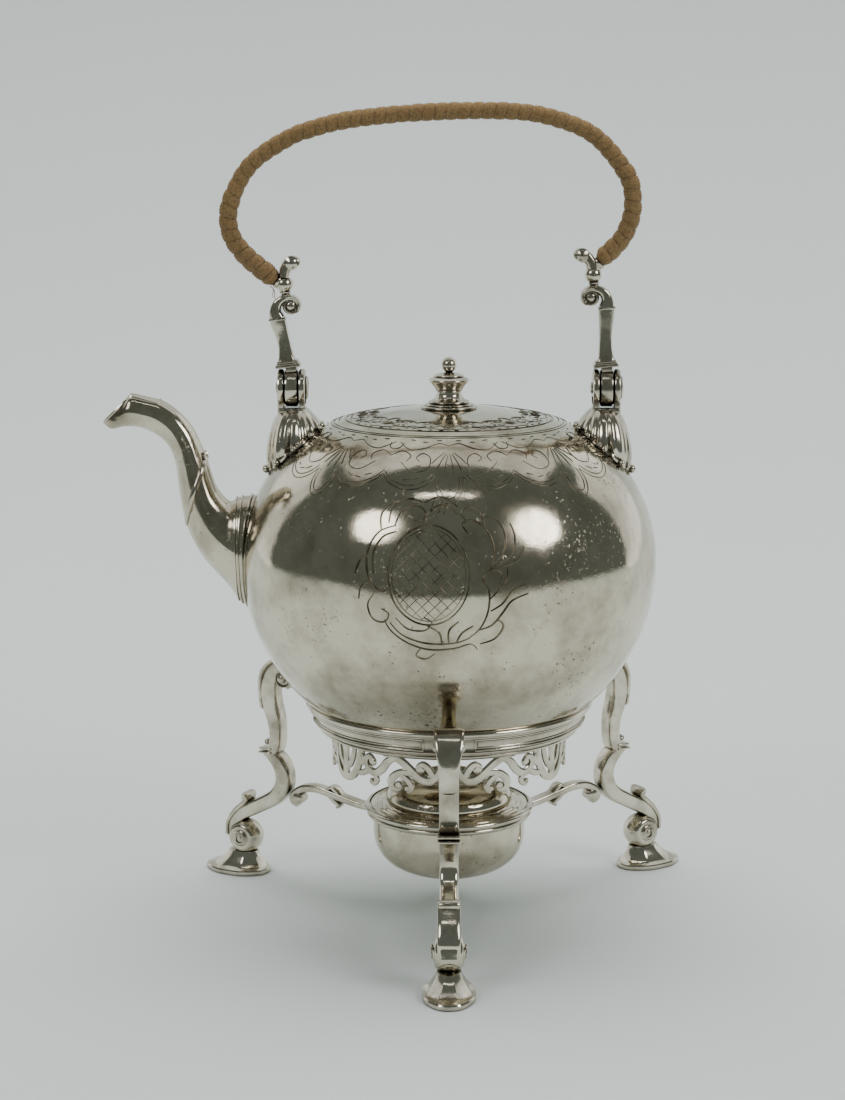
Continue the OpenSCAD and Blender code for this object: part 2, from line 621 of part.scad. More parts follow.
// Side of the bowl, shrunk by inset, from its bottom to its rim
function bowl_side(inset) = [for (i = [0 : 12]) let (a = 7.5 * i)
    [(bowl_r - inset) * pow(sin(a), 0.72),
        lamp_z - bowl_depth + inset + (bowl_depth - 11 - inset) * (1 - pow(cos(a), 0.8))]];

module lamp_bowl() {
    inside = bowl_side(lamp_wall);
    color(silver) turned(concat([[0, lamp_z - bowl_depth]], [for (i = [1 : 12]) bowl_side(0)[i]],
                                [[bowl_r, flange_z], [flange_r, flange_z], [flange_r, flange_z + 0.8],
                                 [bowl_r - lamp_wall, flange_z + 0.8]], [for (i = [12 : -1 : 1]) inside[i]],
                                [[0, lamp_z - bowl_depth + lamp_wall]]));
}

// Domed cover that pushes into the bowl
module lamp_cover() {
    z = flange_z + 0.84;
    w = 0.9;
    skirt = bowl_r - lamp_wall - 0.2;
    top = 13.4;
    shape = [[flange_r - 0.1, 0], [flange_r - 0.2, 0.9], [flange_r - 2, 1], [skirt - 2.4, 0.4],
        [skirt - 5.1, 1], [skirt - 5, 4.4],
             [skirt - 6.5, 7.2], [skirt - 9.5, 9.3], [neck_r + 4.4, 10.6], [neck_r + 1.8, 11.2],
                 [neck_r + 0.6, 11.8],
             [neck_r + 0.9, 12.5], [neck_r + 0.9, top]];
    color(silver) turned(concat([[skirt - w, z - 5], [skirt, z - 5], [skirt, z]], [for (s = shape) [s[0],
        z + s[1]]],
                                [[neck_r - w, z + top], [neck_r - w, z + top - 3]],
                                [for (i = [8 : -1 : 5]) [shape[i][0] - w, z + shape[i][1] - w]],
                                [[skirt - 6, z - 0.2], [skirt - 5.2, z - 0.7], [skirt - w, z - 0.8]]));
}

// Burner plate with its wick tube, set in the neck of the cover
module wick_holder() {
    z = plate_z;
    tube = wick_tube_d / 2;
    color(silver) turned([[tube - 0.9, z - 12], [tube, z - 12], [tube, z], [neck_r - 0.94, z],
        [neck_r - 0.94, z + 1], [tube + 0.4, z + 1.2],
                          [tube, z + 4], [tube - 0.9, z + 4]]);
}

module wick() {
    z = plate_z;
    color(cotton) turned([[0, z - 26], [wick_tube_d / 2 - 0.95, z - 26], [wick_tube_d / 2 - 0.95, z + 5.4],
        [0, z + 5.8]]);
}

kettle_body();
mouth_ring();
spout();
spout_root_band();
handle_socket(-1);  // handle_socket_left
handle_socket(1);  // handle_socket_right
lid();
lid_bezel();
finial();
finial_nut();
hinge_pin(-1);  // hinge_pin_left
hinge_pin(1);  // hinge_pin_right
handle_arm(-1);  // handle_arm_left
handle_arm(1);  // handle_arm_right
handle_core();
handle_wrap();
stand_ring();
stand_apron();
leg_top(front);  // leg_top_front
leg_top(right);  // leg_top_right
leg_top(left);  // leg_top_left
leg_scroll(front);  // leg_scroll_front
leg_scroll(right);  // leg_scroll_right
leg_scroll(left);  // leg_scroll_left
foot(front);  // foot_front
foot(right);  // foot_right
foot(left);  // foot_left
lamp_bracket(front);  // lamp_bracket_front
lamp_bracket(right);  // lamp_bracket_right
lamp_bracket(left);  // lamp_bracket_left
lamp_ring();
lamp_bowl();
lamp_cover();
wick_holder();
wick();
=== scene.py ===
import math
import random
import bpy
import bmesh
from mathutils import Matrix, Vector


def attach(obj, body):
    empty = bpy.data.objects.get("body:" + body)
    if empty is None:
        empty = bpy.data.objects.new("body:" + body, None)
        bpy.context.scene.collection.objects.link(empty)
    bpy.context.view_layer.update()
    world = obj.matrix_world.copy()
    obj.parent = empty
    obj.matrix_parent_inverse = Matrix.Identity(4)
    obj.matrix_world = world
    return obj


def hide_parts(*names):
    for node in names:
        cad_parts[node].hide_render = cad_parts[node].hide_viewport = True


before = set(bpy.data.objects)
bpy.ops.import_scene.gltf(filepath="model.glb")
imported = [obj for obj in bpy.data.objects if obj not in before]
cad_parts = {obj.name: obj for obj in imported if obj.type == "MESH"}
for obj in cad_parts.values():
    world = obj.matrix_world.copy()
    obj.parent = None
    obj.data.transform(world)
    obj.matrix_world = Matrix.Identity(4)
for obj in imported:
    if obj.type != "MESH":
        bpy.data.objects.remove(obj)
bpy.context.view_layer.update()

# ---------------------------------------------------------------- camera
# A long lens a metre in front of the kettle and a little above it, looking down on the lid.

camera = bpy.data.objects.new("camera", bpy.data.cameras.new("camera"))
bpy.context.collection.objects.link(camera)
bpy.context.scene.camera = camera
camera.location = (0, -0.998, 0.351)
camera.rotation_euler = (math.radians(90 - 10.57), 0, 0)
camera.data.sensor_fit = "VERTICAL"
camera.data.sensor_height = 36
camera.data.lens = 74.8
camera.data.shift_x = -0.0241

# ---------------------------------------------------------------- studio
# A pale paper sweep on a table that ends just before the camera, soft light from above, two round
# softboxes and a tube lamp at the sides, and the dim room behind the camera, which the silver mirrors.


def tint(text):
    """An sRGB hex colour as linear red, green, blue and alpha."""
    parts = [int(text[i:i + 2], 16) / 255 for i in (1, 3, 5)]
    return tuple(c / 12.92 if c <= 0.04045 else ((c + 0.055) / 1.055) ** 2.4 for c in parts) + (1,)


def add(tree, kind, inputs=None, **settings):
    """Adds a node; an input is a value, or an output that is linked to it."""
    node = tree.nodes.new(kind)
    for name, value in settings.items():
        setattr(node, name, value)
    for name, value in (inputs or {}).items():
        if isinstance(value, bpy.types.NodeSocket):
            tree.links.new(value, node.inputs[name])
        else:
            node.inputs[name].default_value = value
    return node


def noise(tree, where, scale, detail, rough=0.5):
    """Cloudy noise from 0 to 1, with scale clouds to the metre."""
    return add(tree, "ShaderNodeTexNoise", {"Vector": where, "Scale": scale, "Detail": detail,
                                            "Roughness": rough}).outputs["Fac"]


def spread(tree, value, low, high, first=0, last=1):
    """A value from low to high, spread over first to last."""
    return add(tree, "ShaderNodeMapRange", {"Value": value, "From Min": low, "From Max": high,
                                            "To Min": first, "To Max": last}).outputs["Result"]


def blend(tree, factor, first, second):
    """One colour that passes into another as the factor goes from 0 to 1."""
    return add(tree, "ShaderNodeMix", {"Factor": factor, "A": first, "B": second},
               data_type="RGBA").outputs["Result"]


def reckon(tree, operation, *values, **settings):
    """A sum on numbers or outputs."""
    return add(tree, "ShaderNodeMath", dict(enumerate(values)), operation=operation, **settings).outputs[0]


def blank(name):
    """A new material, its node tree and its shader."""
    finish = bpy.data.materials.new(name)
    finish.use_nodes = True
    return finish, finish.node_tree, finish.node_tree.nodes["Principled BSDF"]


# Matt backdrop paper: no gloss, with the faintest cloudiness so that it doesn't read as plastic.
paper, tree, shader = blank("matt backdrop paper")
cloud = noise(tree, add(tree, "ShaderNodeTexCoord").outputs["Object"], 3, 4)
tree.links.new(blend(tree, cloud, tint("#c8cfcd"), tint("#ced4d1")), shader.inputs["Base Color"])
shader.inputs["Roughness"].default_value = 0.95
shader.inputs["Specular IOR Level"].default_value = 0.15

sweep = bmesh.new()
bend = [(0.7 + 0.6 * math.sin(a), 0.6 - 0.6 * math.cos(a)) for a in (math.radians(i * 5) for i in range(19))]
side = [(-0.95, 0)] + bend + [(1.3, 2.7), (0.9, 3.1)]
verts = [sweep.verts.new((-2.3, y, z)) for y, z in side]
edges = [sweep.edges.new(pair) for pair in zip(verts, verts[1:])]
grown = bmesh.ops.extrude_edge_only(sweep, edges=edges)["geom"]
bmesh.ops.translate(sweep, vec=(4.6, 0, 0), verts=[v for v in grown if isinstance(v, bmesh.types.BMVert)])
mesh = bpy.data.meshes.new("sweep")
sweep.to_mesh(mesh)
sweep.free()
mesh.shade_smooth()
mesh.materials.append(paper)
backdrop = bpy.data.objects.new("backdrop", mesh)
bpy.context.collection.objects.link(backdrop)


def light(name, place, target, watts, shape, size, size_y, mirrored=True):
    """A soft area lamp at a place, turned to a target."""
    lamp = bpy.data.lights.new(name, "AREA")
    lamp.energy = watts
    lamp.shape = shape
    lamp.size = size
    lamp.size_y = size_y
    holder = bpy.data.objects.new(name, lamp)
    holder.location = place
    holder.rotation_euler = (Vector(target) - Vector(place)).to_track_quat("-Z", "Y").to_euler()
    bpy.context.collection.objects.link(holder)
    holder.visible_camera = False
    holder.visible_glossy = mirrored


light("overhead", (0, 0.6, 2.35), (0, 0.25, 0), 74, "RECTANGLE", 2.8, 1.8, mirrored=False)
light("ceiling bounce", (0, 0.7, 2.3), (0, 0.7, 0), 8.5, "RECTANGLE", 3.2, 1.2)
light("left flat", (-1.2, 1.0, 0.62), (0, 0, 0.3), 3.4, "RECTANGLE", 1.1, 1.5)
light("right flat", (1.2, 1.0, 0.62), (0, 0, 0.3), 3.4, "RECTANGLE", 1.1, 1.5)
light("right softbox", (1.45, -0.98, 1.28), (0, 0, 0.15), 14, "DISK", 0.9, 0.9)
light("left softbox", (-1.2, -1.12, 1.34), (0, 0, 0.15), 7, "DISK", 0.8, 0.8)
light("tube lamp", (-0.05, -0.82, 2.0), (0, 0, 0.15), 1.1, "RECTANGLE", 0.9, 0.05)
world = bpy.data.worlds.new("room")
bpy.context.scene.world = world
world.use_nodes = True
world.node_tree.nodes["Background"].inputs["Color"].default_value = tint("#6f7672")
world.node_tree.nodes["Background"].inputs["Strength"].default_value = 0.78

# ---------------------------------------------------------------- kettle body
# Raised from one sheet of silver to a ball with a flat bottom, planished and polished. Long use
# and polish leave warm tarnish in the low spots and small dark pits in the skin.

BODY_R, LOW_ARC, HIGH_ARC, BELLY_Z, BASE_Z, MOUTH_R = 91.7, 84.7, 66, 161.19, 80.91, 48.4


def silver(name, bright, dull, rough, patch_mm, tarnish, pits, dent_mm=30, dents=0.12, hollows=0):
    """Old polished silver: clean highlights, warm grey tarnish, dark pits and faint hammer marks."""
    finish, tree, shader = blank(name)
    where = add(tree, "ShaderNodeTexCoord").outputs["Object"]
    cloud = noise(tree, where, 1000 / patch_mm, 6, 0.62)
    patch = spread(tree, cloud, 0.42, 0.7, 0, tarnish)
    # Pits up to about a millimetre across, crowded in some places and few in others
    speck, crowd = noise(tree, where, 620, 3), noise(tree, where, 38, 3)
    edge = reckon(tree, "SUBTRACT", 0.98 - 0.12 * pits, reckon(tree, "MULTIPLY", crowd, 0.44))
    pit = reckon(tree, "MULTIPLY", reckon(tree, "SUBTRACT", speck, edge), 12, use_clamp=True)
    colour = blend(tree, patch, tint(bright), tint(dull))
    if hollows:
        # Oxide left in the chased hollows, where the cloth doesn't reach
        shut = add(tree, "ShaderNodeAmbientOcclusion", {"Distance": 0.0035}, samples=6).outputs["AO"]
        colour = blend(tree, spread(tree, shut, 0.25, 0.85, hollows, 0), colour, tint("#37332c"))
    colour = blend(tree, pit, colour, tint("#6e6655"))
    tree.links.new(colour, shader.inputs["Base Color"])
    # Fine polishing haze, a tenth of a millimetre, is drawn coarser so that it shows
    haze = noise(tree, where, 240, 5, 0.7)
    gloss = reckon(tree, "MULTIPLY_ADD", patch, 0.22, rough)
    gloss = reckon(tree, "MULTIPLY_ADD", haze, 0.05, gloss)
    gloss = reckon(tree, "MULTIPLY_ADD", pit, 0.3, gloss)
    tree.links.new(gloss, shader.inputs["Roughness"])
    shader.inputs["Metallic"].default_value = 1
    blow = noise(tree, where, 1000 / dent_mm, 2, 0.4)
    dent = add(tree, "ShaderNodeBump", {"Height": blow, "Strength": dents, "Distance": 0.004})
    skin = add(tree, "ShaderNodeBump", {"Height": haze, "Normal": dent.outputs["Normal"],
                                        "Strength": 0.05, "Distance": 0.001})
    sunk = add(tree, "ShaderNodeBump", {"Height": pit, "Normal": skin.outputs["Normal"], "Strength": 0.25,
                                        "Distance": 0.0004}, invert=True)
    tree.links.new(sunk.outputs["Normal"], shader.inputs["Normal"])
    return finish


def arc(centre, radius, first, last, steps):
    """Points along an arc, angles in degrees."""
    turns = [math.radians(first + (last - first) * i / steps) for i in range(steps + 1)]
    return [(centre[0] + radius * math.cos(a), centre[1] + radius * math.sin(a)) for a in turns]


def shoulder_z(r):
    """Height of the kettle's shoulder at a radius."""
    return BELLY_Z + math.sqrt(HIGH_ARC ** 2 - (r - BODY_R + HIGH_ARC) ** 2)


def side_r(z):
    """Radius of the kettle's side at a height."""
    bow = HIGH_ARC if z > BELLY_Z else LOW_ARC
    return BODY_R - bow + math.sqrt(bow ** 2 - (z - BELLY_Z) ** 2)


def body_side(inset):
    """The kettle's profile from its base to its mouth, shrunk by inset."""
    low, high = LOW_ARC - inset, HIGH_ARC - inset
    foot = math.degrees(math.asin((BASE_Z + inset - BELLY_Z) / low))
    top = math.degrees(math.acos((MOUTH_R - BODY_R + HIGH_ARC) / high))
    return arc((BODY_R - LOW_ARC, BELLY_Z), low, foot, 0, 40) + arc((BODY_R - HIGH_ARC, BELLY_Z), high, 0,
        top, 34)[1:]


def turned(bm, outline, place=Matrix(), turns=160, closed=False):
    """Spins an outline of (radius, height) about the upright axis, then moves it to its place."""
    old = set(bm.verts)
    chain = [bm.verts.new((r, 0, z)) for r, z in outline]
    links = [bm.edges.new(pair) for pair in zip(chain, chain[1:] + (chain[:1] if closed else []))]
    bmesh.ops.spin(bm, geom=chain + links, cent=(0, 0, 0), axis=(0, 0, 1), angle=math.tau, steps=turns,
        use_merge=True)
    bmesh.ops.remove_doubles(bm, verts=[v for v in bm.verts if v not in old], dist=0.002)
    bmesh.ops.transform(bm, matrix=place, verts=[v for v in bm.verts if v not in old])


def made(bm, name, finish, body, nodes=(), corner=38):
    """Makes the piece in metres, smooth but for its corners, and sets it on its body."""
    bmesh.ops.recalc_face_normals(bm, faces=bm.faces)
    bmesh.ops.scale(bm, vec=(0.001, 0.001, 0.001), verts=bm.verts)
    mesh = bpy.data.meshes.new(name)
    bm.to_mesh(mesh)
    bm.free()
    mesh.shade_smooth()
    mesh.set_sharp_from_angle(angle=math.radians(corner))
    mesh.materials.append(finish)
    piece = bpy.data.objects.new(name, mesh)
    bpy.context.collection.objects.link(piece)
    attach(piece, body)
    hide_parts(*nodes)
    return piece


raised_silver = silver("raised sterling silver, planished and polished", "#d6cdb9", "#857b67", 0.03, 30, 0.85,
    0.65)
inner = body_side(1.2)
kettle = bmesh.new()
turned(kettle, [(0, BASE_Z)] + body_side(0) + inner[::-1] + [(0, BASE_Z + 1.2)])
made(kettle, "kettle_shell", raised_silver, "kettle", ["kettle_body"])
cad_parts["mouth_ring"].data.materials.clear()
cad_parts["mouth_ring"].data.materials.append(raised_silver)

# ---------------------------------------------------------------- lid
# A slightly domed disc of the same sheet with a soldered bezel below. Its edge lies flush in the mouth,
# so that only a fine dark line parts the two.

CROWN_Z = 228.63
CROWN_R = 217
LID_R = MOUTH_R - 0.3


def crown(r):
    """Height of the lid at a radius."""
    return CROWN_Z - CROWN_R + math.sqrt(CROWN_R ** 2 - r * r)


lid = bmesh.new()
top = [(r, crown(r)) for r in (i * (LID_R - 0.4) / 30 for i in range(31))]
edge = [(LID_R, crown(LID_R) - 0.3), (LID_R, crown(LID_R) - 1)]
turned(lid, top + edge + [(r, z - 1.2) for r, z in reversed(top)])
made(lid, "lid_plate", raised_silver, "lid", ["lid"])
for name in ("lid_bezel", "finial_nut"):
    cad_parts[name].data.materials.clear()
    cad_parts[name].data.materials.append(raised_silver)

# ---------------------------------------------------------------- finial
# Cast and turned in one: a stepped foot, a waist, a flat disc and a ball, held by a nut under the lid.
# The turner's tool left crisp edges, and polish has stayed dark in the grooves between them.

cast_silver = silver("cast silver, chased and polished", "#dad2c1", "#8d8471", 0.08, 14, 0.8, 0.1, 9, 0.06,
    hollows=0.8)


def lips(*parts):
    """An outline from points and from (radius, height, bulge radius) half rounds."""
    line = []
    for part in parts:
        line += arc(part[:2], part[2], -80, 80, 9) if len(part) == 3 else [part]
    return line


finial = bmesh.new()
z = CROWN_Z
turned(finial, [(0, z - 0.6), (12.4, z - 0.7)] + lips(
    (12.0, z + 0.3, 0.45), (11.2, z + 0.9), (10.9, z + 1.0), (10.3, z + 1.3, 0.4), (9.3, z + 1.7),
    (8.6, z + 1.9),
    (8.4, z + 2.5, 0.5), (7.7, z + 3.1), (6.8, z + 3.6), (6.0, z + 4.5), (5.5, z + 5.3), (5.25, z + 6.2),
    (5.3, z + 6.9), (5.5, z + 7.4, 0.3), (6.0, z + 7.9), (6.6, z + 9.0), (7.6, z + 10.2), (8.0, z + 10.7),
    (8.2, z + 11.9, 0.65), (8.1, z + 12.7), (7.5, z + 13.1), (6.5, z + 13.3), (6.2, z + 13.9, 0.45),
    (5.4, z + 14.6),
    (4.0, z + 14.9), (2.4, z + 15.3)) + arc((0, z + 18.6), 3.4, -66, 90, 16), turns=64)
made(finial, "lid_finial", cast_silver, "lid", ["finial"], corner=42)

# ---------------------------------------------------------------- spout
# Seamed from sheet with eight long panels that run from the reeded root to the lip, where the upper
# panels stop at a flat ledge. A cast scroll crosses it low down.

SPOUT_FOOT, SPOUT_REACH, SPOUT_RISE, SPOUT_HALF_WIDTH = BELLY_Z - 23.5, 60.4, 97, 17
SPOUT_GRID = [((0.02, 0.535), (0.0, 0.02), 1.0), ((0.075, 0.505), (0.1, 0.115), 0.9),
              ((0.13, 0.53), (0.21, 0.19), 0.82),
              ((0.18, 0.575), (0.3, 0.26), 0.75), ((0.215, 0.635), (0.38, 0.355), 0.68),
              ((0.24, 0.69), (0.43, 0.455), 0.62),
              ((0.285, 0.765), (0.455, 0.565), 0.56), ((0.345, 0.845), (0.48, 0.68), 0.5),
              ((0.44, 0.915), (0.53, 0.765), 0.46),
              ((0.555, 0.965), (0.62, 0.815), 0.43), ((0.67, 0.985), (0.735, 0.845), 0.42),
              ((0.775, 1), (0.84, 0.85), 0.4),
              ((0.79, 0.998), (0.94, 0.838), 0.3), ((0.8, 0.985), (1, 0.868), 0.2)]


def spline(points, steps):
    """A smooth curve through points of any size, steps to each span."""
    line = []
    for i in range(len(points) - 1):
        a, b, c, d = (Vector(points[min(max(k, 0), len(points) - 1)]) for k in (i - 1, i, i + 1, i + 2))
        for t in (k / steps for k in range(steps)):
            line.append(0.5 * (2 * b + (c - a) * t + (2 * a - 5 * b + 4 * c - d) * t * t
                               + (3 * b - a - 3 * c + d) * t ** 3))
    return line + [Vector(points[-1])]


def loft(bm, rings, ends=True):
    """Extrudes a circle through rings of points, closed at both ends."""
    ring = bmesh.ops.create_circle(bm, segments=len(rings[0]), radius=1, cap_ends=ends)["verts"]
    ring = sorted(ring, key=lambda v: math.atan2(v.co.y, v.co.x))
    for v, place in zip(ring, rings[0]):
        v.co = place
    for places in rings[1:]:
        rim = [bm.edges.get((ring[i - 1], ring[i])) for i in range(len(ring))]
        fresh = {v for v in bmesh.ops.extrude_edge_only(bm, edges=rim)["geom"] if isinstance(v,
            bmesh.types.BMVert)}
        ring = [next(e.other_vert(v) for e in v.link_edges if e.other_vert(v) in fresh) for v in ring]
        for v, place in zip(ring, places):
            v.co = place
    if ends:
        bmesh.ops.contextual_create(bm, geom=[bm.edges.get((ring[i - 1], ring[i])) for i in range(len(ring))])


spout_line = spline([u + l + (w,) for u, l, w in SPOUT_GRID], 5)


def on_spout(t, turn, grow=0.0):
    """A point of the spout: t counts stations from the root, turn is degrees round it, grow is outwards."""
    t = min(max(t, 0), len(spout_line) - 1)
    i = min(int(t), len(spout_line) - 2)
    g = spout_line[i].lerp(spout_line[i + 1], t - i)
    upper = Vector((-(BODY_R + SPOUT_REACH * g[0]), 0, SPOUT_FOOT + SPOUT_RISE * g[1]))
    lower = Vector((-(BODY_R + SPOUT_REACH * g[2]), 0, SPOUT_FOOT + SPOUT_RISE * g[3]))
    half = (upper - lower) / 2
    a = math.radians(turn)
    # Eight panels with soft ridges between them
    panel = 1 - 0.045 * (1 - abs(math.cos(4 * a)) ** 0.7) * min(1, t / 6)
    high, wide = (half.length + grow) * panel, (SPOUT_HALF_WIDTH * g[4] + grow) * panel
    place = (upper + lower) / 2 + half.normalized() * high * math.cos(a) + Vector((0, wide * math.sin(a), 0))
    if t < 1.5:
        at = -math.sqrt(max((side_r(min(max(place.z, 100), 210)) - 0.4) ** 2 - place.y ** 2, 1))
        place.x = at + (place.x - at) * t / 1.5
    return place


spout = bmesh.new()
last = len(spout_line) - 1
turns = [i * 360 / 64 for i in range(64)]
outer = [[on_spout(t, a) for a in turns] for t in range(last + 1)]
inside = [[on_spout(t, a, -1.2) for a in turns] for t in range(last, 0, -1)]
lip = [[on_spout(last, a, g) for a in turns] for g in (0.25, 0.3, -0.1, -0.8)]
loft(spout, outer + lip + inside + [[on_spout(0.1, a, -1.2) for a in turns]], ends=False)
made(spout, "spout_shell", raised_silver, "kettle", ["spout"], corner=30)


def wire(bm, line, radii, sides=8):
    """A round wire along 3-D points, its radius given at each."""
    rings = []
    for i, p in enumerate(line):
        along = (line[min(i + 1, len(line) - 1)] - line[max(i - 1, 0)]).normalized()
        a = along.orthogonal() if i == 0 else (across - along * across.dot(along))
        across = a.normalized()
        up = along.cross(across)
        turns = [k * math.tau / sides for k in range(sides)]
        rings.append([p + radii[i] * (across * math.cos(a) + up * math.sin(a)) for a in turns])
    loft(bm, rings)


trim = bmesh.new()
# The scroll that crosses the spout low down: a leaf on each side that ends in a small curl above
for flip in (-1, 1):
    path = [on_spout(26.6 - 4.6 * k / 24, flip * (10 + 150 * (k / 24) ** 0.9), 0.1) for k in range(25)]
    wire(trim, path, [0.5 + 1.0 * math.sin(math.pi * (k + 1.5) / 27) ** 0.7 for k in range(25)], 10)
    path = [on_spout(26.6 + 1.5 * math.sin(k * 0.55) * (1 - k / 14),
        flip * (14 + 10 * math.cos(k * 0.55) * (1 - k / 14)), 0.5) for k in range(12)]
    wire(trim, path, [0.85 - 0.04 * k for k in range(12)], 8)
# The ledge below the lip and the two ribs that run back from it
for flip in (-1, 1):
    path = [on_spout(t, flip * (38 - 10 * (t - 46) / 19), 0.1) for t in [46 + 19 * k / 20 for k in range(21)]]
    wire(trim, path, [0.3 + 0.5 * math.sin(math.pi * k / 20) for k in range(21)], 8)
wire(trim, [on_spout(last - 0.3, a, 0.15) for a in range(-150, 151, 10)], [0.62] * 31, 8)
wire(trim, [on_spout(46, a, 0.1) for a in range(-44, 45, 8)], [0.55] * 12, 8)
# Reeds round the root, over the solder joint
for t, grow, r in ((0.4, 0.3, 0.6), (1.1, 0.2, 0.42), (1.7, 0.1, 0.3)):
    wire(trim, [on_spout(t, a * 5, grow) for a in range(73)], [r] * 73, 8)
made(trim, "spout_trim", cast_silver, "kettle", ["spout_root_band"])

# ---------------------------------------------------------------- engraving
# Flat-chased ornament: scalloped bands with shells and scrolls round the mouth and on the lid, and a
# scrolled frame round a plain diapered oval on the front. Fine lines that old polish has left dark.

chased_line, tree, shader = blank("chased line, dark with old polish")
where = add(tree, "ShaderNodeTexCoord").outputs["Object"]
# Rubbed lines are nearly bare silver, deeper ones keep their oxide
worn = spread(tree, noise(tree, where, 120, 3), 0.4, 0.62)
tree.links.new(blend(tree, worn, tint("#453e33"), tint("#8a816c")), shader.inputs["Base Color"])
shader.inputs["Metallic"].default_value = 1
shader.inputs["Roughness"].default_value = 0.34


def chased(strokes, surface, half_mm):
    """A mesh of thin lines, each a list of points that surface turns into places on the silver."""
    lines = bmesh.new()
    for stroke in strokes:
        path = [surface(*p) for p in spline(stroke, 4 if len(stroke) > 2 else 8)]
        last = len(path) + 0.2
        swell = [0.55 + 0.45 * math.sin(math.pi * (k + 0.6) / last) for k in range(len(path))]
        wire(lines, path, [half_mm * part for part in swell], 5)
    mesh = bpy.data.meshes.new("lines")
    lines.to_mesh(mesh)
    lines.free()
    return mesh


def repeated(bm, mesh, times):
    """Sets copies of a mesh of lines round the upright axis."""
    for k in range(times):
        old = set(bm.verts)
        bm.from_mesh(mesh)
        bmesh.ops.rotate(bm, matrix=Matrix.Rotation(math.tau * k / times, 3, "Z"),
            verts=[v for v in bm.verts if v not in old])


# Half of one repeat, as (degrees, radius); the other half is its mirror image
HALF = [[(0, 50.4), (7.5, 50.4), (15, 50.4), (22.5, 50.4)],
        [(0, 51.6), (7.5, 51.6), (15, 51.6), (22.5, 51.6)],
        [(22.5, 71), (19, 74.4), (13.5, 76.2), (8, 75), (4.6, 71.6)],
        [(22.5, 69.6), (19, 73), (13.5, 74.8), (8.6, 73.7), (5.6, 70.6)],
        [(4.6, 71.6), (4.2, 76), (2.2, 79.2), (0, 80)], [(3.4, 71.6), (3, 75.4), (1.6, 78), (0, 78.7)],
        [(17.5, 66), (12.6, 70), (7.4, 68.4), (7, 63.6), (10, 61.4), (12.2, 63.6), (10.6, 65.4)],
        [(21.5, 55), (16, 59.4), (10, 58.6), (4.4, 55.4), (0, 57)],
        [(22.5, 63), (18.6, 60.4), (14.6, 62.6), (15.6, 65.4)],
        [(0.4, 62), (1.2, 66.6), (1.6, 70.4)], [(1.2, 61.6), (3, 65.6), (4.2, 69)],
        [(1.8, 60.8), (4.6, 64), (6.2, 66.4)],
        [(19.4, 55.6), (20.4, 58.6), (22.5, 59.4)], [(9, 71.4), (11.5, 72.8)], [(12.5, 72.6), (15, 73)],
        [(16, 72), (18.4, 71.2)],
        [(3, 53.4), (5.4, 53.6)], [(9, 54.6), (11.4, 54.8)], [(15, 53.6), (17.4, 53.4)]]
both = HALF + [[(-a, r) for a, r in stroke] for stroke in HALF]


def on_shoulder(a, r):
    """A place on the shoulder, by degrees round it and radius."""
    return Vector((r * math.cos(math.radians(a)), r * math.sin(math.radians(a)), shoulder_z(r) + 0.02))


def on_lid(a, r):
    """A place on the lid for a point of the shoulder's band, drawn smaller."""
    r = 45.8 - (r - 50.4) * 0.52
    return Vector((r * math.cos(math.radians(a)), r * math.sin(math.radians(a)), crown(r) + 0.02))


def on_front(u, v):
    """A place on the kettle's front for flat millimetres across and up from its widest line."""
    bow = HIGH_ARC if v > 0 else LOW_ARC
    r, a = BODY_R - bow + bow * math.cos(v / bow), -math.pi / 2 + u / BODY_R
    return Vector((r * math.cos(a), r * math.sin(a), BELLY_Z + bow * math.sin(v / bow))) * 1.0002


band = bmesh.new()
repeated(band, chased(both, on_shoulder, 0.24), 8)
